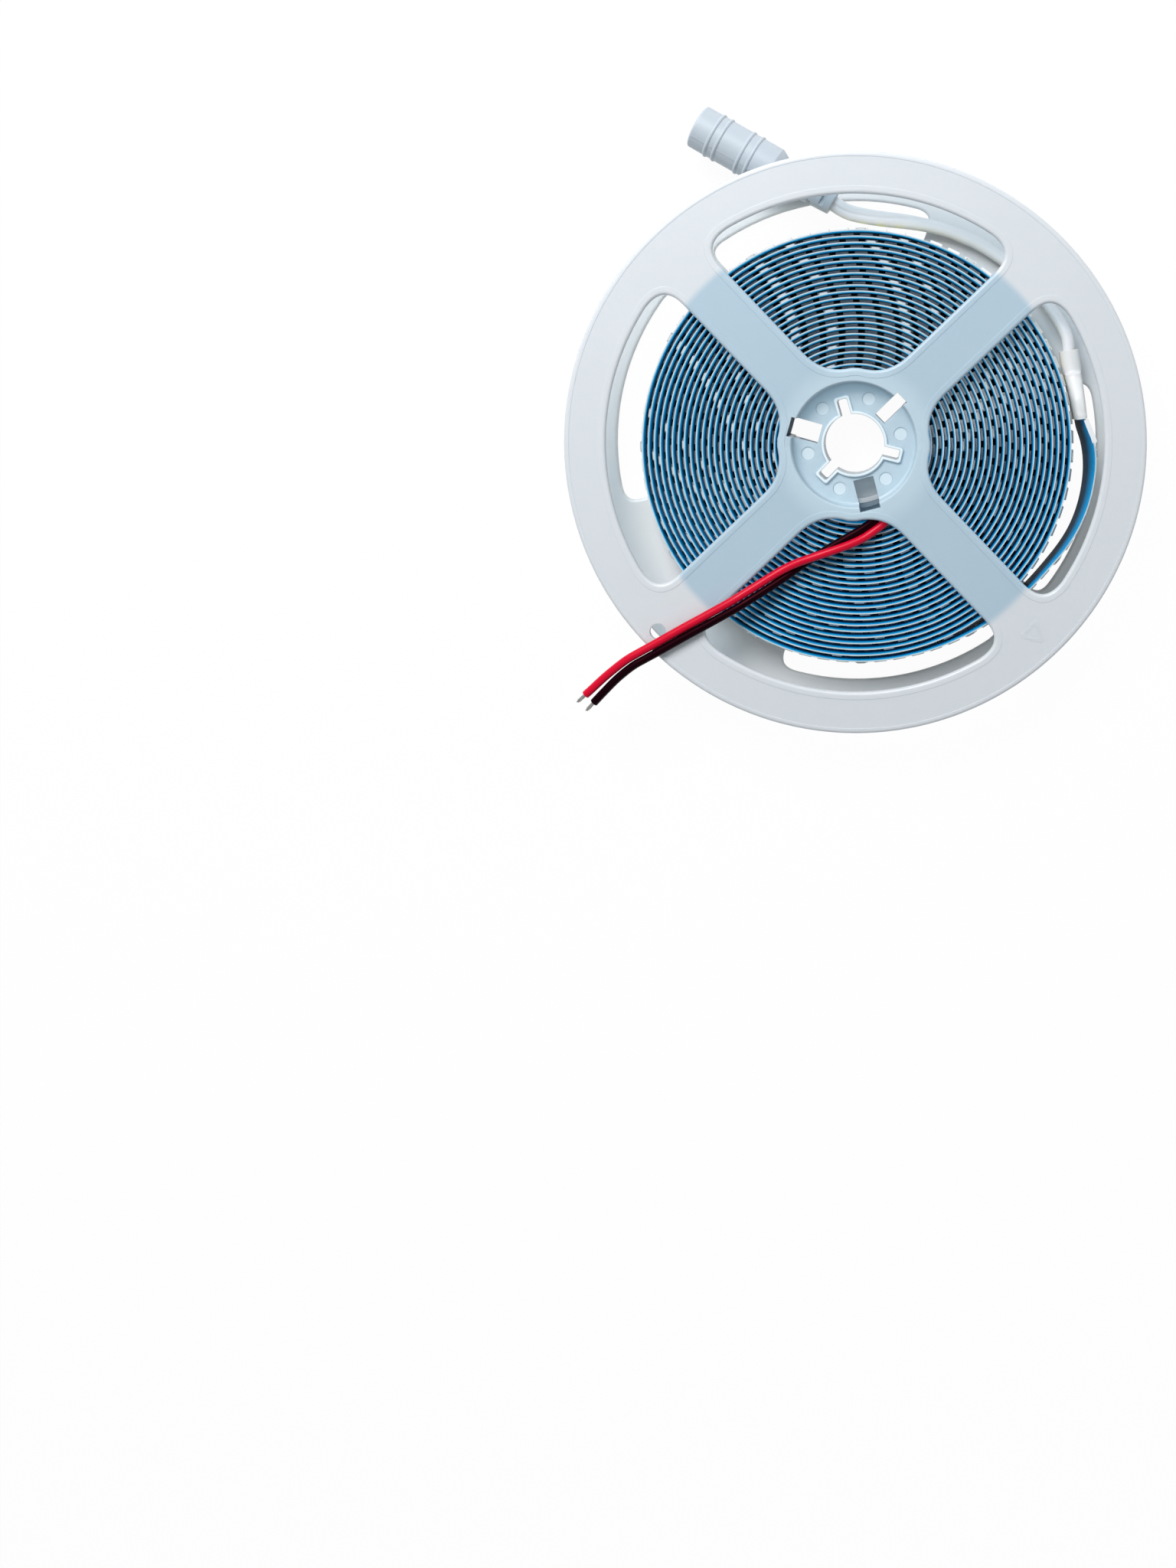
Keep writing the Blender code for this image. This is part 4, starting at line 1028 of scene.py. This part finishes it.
def socket_grip():
    face = SOCKET_FACE
    edge = quarter_round((SOCKET_R - SOCKET_EDGE, face - SOCKET_EDGE), SOCKET_EDGE, 0)
    profile = [(0, face), *edge[::-1]]
    for place in RING_PLACES:
        for i in range(-RING_STEPS, RING_STEPS + 1):
            share = i / RING_STEPS
            rise = RING_RISE * math.cos(math.pi / 2 * share) ** 0.8 if abs(i) < RING_STEPS else 0.0
            profile.append((SOCKET_R + rise, face - place - RING_HALF * share))
    neck = RELIEF_LENGTH + SOCKET_TAPER
    profile += [
        (SOCKET_R, neck + 0.3 * MM),
        (SOCKET_R - 0.08 * MM, neck),
        (RELIEF_R + 0.5 * MM, RELIEF_LENGTH + 0.35 * MM),
        (RELIEF_R, RELIEF_LENGTH),
        (RELIEF_END_R, 0.15 * MM),
        (RELIEF_END_R - 0.15 * MM, 0),
        (0, 0),
    ]
    body = turned("socket_grip", profile, SOCKET_SIDES)
    bore = turned("bore", plug(LINER_R + LINER_FIT, face + CUT_PAST, face - LINER_DEPTH), SOCKET_SIDES)
    pitch = RELIEF_LENGTH / (RELIEF_SLOTS + 0.5)
    reach = 2 * RELIEF_R
    slots = []
    for i in range(RELIEF_SLOTS):
        turn = Matrix.Rotation(math.radians(90 * (i % 2)), 4, "Z")
        turn = Matrix.Translation((0, 0, pitch * (i + 0.75))) @ turn
        for side in (1, -1):
            out = Matrix.Translation((side * (RELIEF_CORE_R + reach / 2), 0, 0))
            slots.append(((reach, 2 * reach, RELIEF_SLOT), turn @ out))
    return carved(body, [(bore, "DIFFERENCE"), (block("relief_slots", slots), "DIFFERENCE")])


def in_socket(name, mesh, slot, finish, node=None):
    mesh.transform(socket_frame)
    piece = add_piece(name, mesh, slot, finish)
    soften(piece)
    if node:
        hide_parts(node)
    return piece


grip_white = new_finish(
    "moulded_white_vinyl", (0.48, 0.54, 0.60), 0.42,
    drift=0.03, drift_scale=120.0, grain=0.16, grain_scale=1100.0,
)
liner_white = new_finish("white_hard_plastic", (0.78, 0.78, 0.76), 0.3, drift=0.03, drift_scale=200.0)
nickel = new_finish("nickel_plate", (0.72, 0.70, 0.66), 0.2, drift=0.05, drift_scale=500.0, metallic=1.0)
grip = in_socket("socket_grip", socket_grip(), "socket_grip", grip_white, "dc_socket_housing")
seam_size = (SEAM_WIDE, 2 * SOCKET_R + SEAM_WIDE, SOCKET_LENGTH - 2 * SOCKET_EDGE)
seam_turn = Matrix.Rotation(math.radians(SEAM_TURN), 4, "Z")
seam_place = Matrix.Translation((0, 0, SOCKET_FACE - SOCKET_LENGTH / 2)) @ seam_turn
seam_core = turned("seam_core", plug(SOCKET_R - SEAM_DEEP, SOCKET_FACE + CUT_PAST, 0), 48)
seams = carved(block("socket_seams", [(seam_size, seam_place)]), [(seam_core, "DIFFERENCE")])
seam = in_socket("socket_seams", seams, "socket_grip", grip_white)
liner_face = SOCKET_FACE - LINER_BACK
liner_end = SOCKET_FACE - LINER_DEPTH
cup = turned("socket_liner", [
    (LINER_HOLE_R, SOCKET_FACE - JACK_DEPTH),
    (JACK_R, SOCKET_FACE - JACK_DEPTH),
    (JACK_R, liner_face - JACK_CHAMFER),
    (JACK_R + JACK_CHAMFER, liner_face),
    (LINER_R, liner_face),
    (LINER_R, liner_end),
    (LINER_HOLE_R, liner_end),
], SOCKET_SIDES, closed=True)
cup_piece = in_socket("socket_liner", cup, "socket_liner", liner_white, "dc_socket_liner")
tip = SOCKET_FACE - PIN_BACK
tip_round = quarter_round((PIN_R - PIN_ROUND, tip - PIN_ROUND), PIN_ROUND, 0)
pin = turned("socket_pin", [(0, tip), *tip_round[::-1], (PIN_R, liner_end), (0, liner_end)], 48)
pin_piece = in_socket("socket_pin", pin, "contact_metal", nickel, "dc_socket_pin")
leaf_low = SOCKET_FACE - JACK_DEPTH + SEAT
leaf_corners = ((LEAF_IN, -LEAF_HALF), (LEAF_OUT, -LEAF_HALF), (LEAF_OUT, LEAF_HALF), (LEAF_IN, LEAF_HALF))
leaf = []
for share in [i / LEAF_STEPS for i in range(LEAF_STEPS + 1)]:
    bow = LEAF_BOW * math.sin(math.pi * share)
    leaf.append([(x - bow, y, leaf_low + LEAF_LENGTH * share) for x, y in leaf_corners])
leaf_mesh = skinned("socket_leaf", leaf)
leaf_piece = in_socket("socket_leaf", leaf_mesh, "contact_metal", nickel, "dc_socket_contact")


# The power cable: two cores side by side in one white vinyl sheath, which shows as a shallow groove along it.
# It lies on the rear half, and bends up into the sleeve at one end and into the socket's relief at the other.
# The middle of its route in mm.
CABLE_MID_ROUTE = (
    (2.3, 49.9, 6.7), (6.4, 49.35, 5.95), (10.5, 48.95, 5.0), (14.1, 48.45, 4.3),
    (17.5, 47.75, 3.9), (20.9, 46.8, 3.7), (24.3, 45.45, 3.62), (27.7, 43.9, 3.6),
    (32.7, 40.7, 3.65), (38.4, 35.95, 4.1), (42.9, 30.2, 5.1),
)
CABLE_NARROW = 2.75 * MM
CABLE_SIDES = 40
GROOVE_DEEP = 0.2 * MM
GROOVE_WIDE = 0.2
# The sheath turns on its side along the way: (share of the length, degrees that its wide side has turned).
CABLE_TWIST = ((0.0, -14.0), (0.16, 4.0), (0.26, 30.0), (0.36, 62.0), (0.6, 60.0), (1.0, 75.0))


def evenly(points, step):
    """The same line with even steps of about this length."""
    lengths = [0.0]
    for a, b in zip(points, points[1:]):
        lengths.append(lengths[-1] + (b - a).length)
    count = max(2, round(lengths[-1] / step))
    found = []
    i = 0
    for k in range(count + 1):
        want = lengths[-1] * k / count
        while i < len(points) - 2 and lengths[i + 1] < want:
            i += 1
        share = (want - lengths[i]) / (lengths[i + 1] - lengths[i])
        found.append(points[i].lerp(points[i + 1], min(max(share, 0.0), 1.0)))
    return found, lengths[-1]


def from_mm(values):
    return Vector([value * MM for value in values])


def relief_point(past):
    return socket_frame @ Vector((0, 0, -past))


def mouth_point(past):
    return Vector((*(sleeve_foot + polar(SLEEVE_LENGTH + past, SLEEVE_TURN)), SLEEVE_MOUTH_Z))


cable_route = [relief_point(SEAT - 0.5 * MM), relief_point(SEAT + CABLE_D)]
cable_route += [from_mm(values) for values in CABLE_MID_ROUTE]
cable_route += [mouth_point(SEAT + CABLE_D), mouth_point(SEAT - 1.0 * MM)]
cable_line, cable_length = evenly(smooth_through(cable_route, 12), 0.5 * MM)
twist_steps = smooth_through([Vector((*step, 0)) for step in CABLE_TWIST], 8)
rings = []
for i, place in enumerate(cable_line):
    along = (cable_line[min(i + 1, len(cable_line) - 1)] - cable_line[max(i - 1, 0)]).normalized()
    level = along.cross(Vector((0, 0, 1))).normalized()
    stand = level.cross(along)
    share = i / (len(cable_line) - 1)
    twist = math.radians(between_steps(twist_steps, share).y)
    ring = []
    for j in range(CABLE_SIDES):
        angle = 2 * math.pi * j / CABLE_SIDES
        oval = 0.5 * (CABLE_D - (CABLE_D - CABLE_NARROW) * math.sin(angle) ** 2)
        groove = GROOVE_DEEP * math.exp(-((math.cos(angle) / GROOVE_WIDE) ** 2))
        side = (oval - groove) * Vector((math.cos(angle), math.sin(angle)))
        turn = Matrix.Rotation(twist, 2) @ side
        ring.append(place + level * turn.x + stand * turn.y)
    rings.append(ring)
cable_white = new_finish(
    "white_vinyl", (0.77, 0.79, 0.82), 0.4, drift=0.04, drift_scale=140.0, grain=0.08, grain_scale=600.0
)
cable = add_piece("power_cable", skinned("power_cable", rings), "cable", cable_white)
cable.data.shade_smooth()
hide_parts("dc_cable")


# The two bare leads, red and black stranded copper in thin glossy vinyl, soldered to the strip's inner end.
# They come out beside the hub, cross the roll, the red one over the black one, rise through a window and lie
# on the front half, where they part.
LEAD_D = 1.8 * MM
# The first part of each lead: mm beyond the barrel, degrees round it and mm up. The rest is in mm, and the
# pair's rows end with the degrees by which the red lead is turned up round the pair's middle.
RED_START = (
    (1.8, 326.0, 10.2), (1.7, 319.0, 11.4), (1.6, 312.0, 12.5), (1.9, 306.0, 12.9),
    (2.8, 298.5, 12.9), (3.95, 291.0, 12.9),
)
BLACK_START = (
    (1.8, 326.0, 8.0), (1.6, 318.0, 8.8), (1.3, 310.0, 9.9), (1.05, 302.0, 11.2),
    (1.1, 294.5, 12.4), (1.8, 289.0, 12.88),
)
PAIR_ROUTE = (
    (4.93, -17.32, 12.9, 180), (1.88, -19.48, 13.15, 165), (-0.89, -20.93, 13.45, 145),
    (-3.67, -22.23, 13.7, 122), (-6.43, -23.5, 13.84, 100), (-8.67, -24.54, 13.85, 84),
    (-12.01, -26.22, 13.75, 55), (-14.77, -27.84, 13.95, 30), (-17.52, -29.54, 14.6, 14),
    (-20.25, -31.24, 15.4, 8), (-23.5, -33.21, 16.3, 6), (-26.22, -34.87, 16.6, 6),
    (-31.8, -37.99, 16.6, 6), (-37.36, -41.05, 16.6, 6), (-42.94, -44.24, 16.6, 6),
    (-45.74, -45.78, 16.6, 6), (-48.55, -47.4, 16.6, 4),
)
PAIR_SIDE = 0.95 * MM
RED_END = (
    (-51.36, -48.31, 16.5), (-54.21, -50.67, 16.3), (-57.1, -53.36, 16.0), (-58.55, -54.68, 15.8),
)
BLACK_END = (
    (-51.39, -50.9, 16.4), (-54.28, -53.8, 16.1), (-56.76, -56.43, 15.7),
)
LEAD_TIP_LENGTH = 2.9 * MM
STRAND_D = 0.3 * MM
STRANDS = 7
STRAND_STEPS = 8
STRAND_LAY = 70


def lead_route(start, side, end):
    """A lead's whole route. In the pair it runs beside, above or below their middle line."""
    route = [Vector((*polar(BARREL_R + out * MM, degrees), height * MM)) for out, degrees, height in start]
    pair = [from_mm(row[:3]) for row in PAIR_ROUTE]
    for i, point in enumerate(pair):
        along = pair[min(i + 1, len(pair) - 1)] - pair[max(i - 1, 0)]
        left = along.cross(Vector((0, 0, 1))).normalized()
        turn = math.radians(PAIR_ROUTE[i][3])
        route.append(point + (left * math.cos(turn) + Vector((0, 0, math.sin(turn)))) * side)
    return route + [from_mm(values) for values in end]


def tube(name, lines, diameter, roundness=8):
    """Round tubes along lines of points."""
    curve = bpy.data.curves.new(name, "CURVE")
    curve.dimensions = "3D"
    curve.bevel_depth = diameter / 2
    curve.bevel_resolution = roundness
    curve.use_fill_caps = True
    for line in lines:
        add_line(curve, line).use_smooth = True
    return curve


def tinned_strands(end, along):
    """Seven tinned strands with a slight lay, a little uneven in length."""
    side = along.cross(Vector((0, 0, 1))).normalized()
    over = side.cross(along)
    lines = []
    for k in range(STRANDS):
        line = []
        reach = LEAD_TIP_LENGTH * (0.98 - 0.07 * (k % 3))
        for t in [j / STRAND_STEPS for j in range(STRAND_STEPS + 1)]:
            spread = 0.0 if k == 0 else STRAND_D * (1.0 - 0.12 * t)
            turn = math.radians(60 * k + STRAND_LAY * t)
            beside = (side * math.cos(turn) + over * math.sin(turn)) * spread
            line.append(end + along * reach * t + beside)
        lines.append(line)
    return lines


def lead_vinyl(name, colour, drift, mirror):
    return new_finish(name, colour, 0.3, drift, 200.0, grain=0.05, grain_scale=500.0, mirror=mirror)


red_vinyl = lead_vinyl("red_vinyl", (0.64, 0.001, 0.026), 0.06, 0.2)
# The black lead's faint red colour and its red specular tint are a painted reflection of the red lead beside
# it.
black_vinyl = lead_vinyl("black_vinyl", (0.006, 0.001, 0.003), 0.1, 0.12)
black_vinyl.node_tree.nodes["Principled BSDF"].inputs["Specular Tint"].default_value = (1.0, 0.15, 0.2, 1)
tinned = new_finish(
    "tinned_strands", (0.72, 0.70, 0.68), 0.32, drift=0.08, drift_scale=600.0, grain=0.1, metallic=1.0
)
for colour, start, side, end, finish in (
    ("red", RED_START, PAIR_SIDE, RED_END, red_vinyl),
    ("black", BLACK_START, -PAIR_SIDE, BLACK_END, black_vinyl),
):
    route = lead_route(start, side, end)
    line, lead_length = evenly(smooth_through(route, 10), 0.7 * MM)
    lead = add_piece(f"{colour}_wire", tube(f"{colour}_wire", [line], LEAD_D), f"{colour}_vinyl", finish)
    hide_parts(f"{colour}_lead")
    along = (route[-1] - route[-2]).normalized()
    strands = tube(f"{colour}_strands", tinned_strands(route[-1] - along * 0.3 * MM, along), STRAND_D, 3)
    bare = add_piece(f"{colour}_strands", strands, "tinned_strands", tinned)
    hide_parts(f"{colour}_lead_tip")


# The floor and the light: a plain white sweep under one broad soft lamp beyond the top of the picture, a weak
# one beyond its right side and a low even fill from all round.
FLOOR_R = 3.0
SWEEP_GLOW = 0.96
DARK_UNDER = (15.5 * MM, 46.5 * MM)


def sweep_white():
    """White paper. Seen directly it is nearly pure white, but for its shadows and the dark under the roll."""
    material, tree, shader, place = add_shader("white_sweep")
    feed(tree, shader, {"Base Color": (0.9, 0.9, 0.9, 1), "Roughness": 0.9})

    def joined(operation, first, second):
        return add_node(tree, "Math", {0: first, 1: second}, operation=operation)["Value"]

    path = add_node(tree, "LightPath", {})
    seen = joined("MAXIMUM", path["Is Camera Ray"], path["Is Glossy Ray"])
    seen = joined("MAXIMUM", seen, path["Is Transmission Ray"])
    reach = from_roll_axis(tree, place)
    outside = joined("GREATER_THAN", reach, DARK_UNDER[1])
    within = joined("LESS_THAN", reach, DARK_UNDER[0])
    clear = joined("MAXIMUM", outside, within)
    share = joined("MULTIPLY", joined("MULTIPLY", seen, clear), SWEEP_GLOW)
    glow = add_node(tree, "Emission", {"Color": (1, 1, 1, 1), "Strength": 1.0})["Emission"]
    blend = add_node(tree, "MixShader", {"Fac": share, 1: shader.outputs["BSDF"], 2: glow})["Shader"]
    feed(tree, tree.nodes["Material Output"], {"Surface": blend})
    return material


floor_mesh = bpy.data.meshes.new("floor")
floor_corners = [(x * FLOOR_R, y * FLOOR_R, 0) for x, y in ((-1, -1), (1, -1), (1, 1), (-1, 1))]
floor_mesh.from_pydata(floor_corners, [], [(0, 1, 2, 3)])
floor_mesh.materials.append(sweep_white())
floor = in_scene("floor", floor_mesh)


def soft_lamp(name, place, size, power):
    lamp_data = bpy.data.lights.new(name, "AREA")
    lamp_data.shape = "DISK"
    lamp_data.size = size
    lamp_data.energy = power
    place = Vector(place)
    aimed = (-place).to_track_quat("-Z", "Y").to_matrix().to_4x4()
    in_scene(name, lamp_data).matrix_world = Matrix.Translation(place) @ aimed


soft_lamp("key", (-0.19, 0.40, 0.50), 0.36, 4.6)
soft_lamp("side", (0.60, -0.10, 0.45), 0.5, 0.5)

world = bpy.data.worlds.new("studio")
world.use_nodes = True
sky = world.node_tree.nodes["Background"]
sky.inputs["Color"].default_value = (0.92, 0.98, 1.0, 1)
sky.inputs["Strength"].default_value = 0.32
bpy.context.scene.world = world
bpy.context.scene.view_settings.view_transform = "Standard"
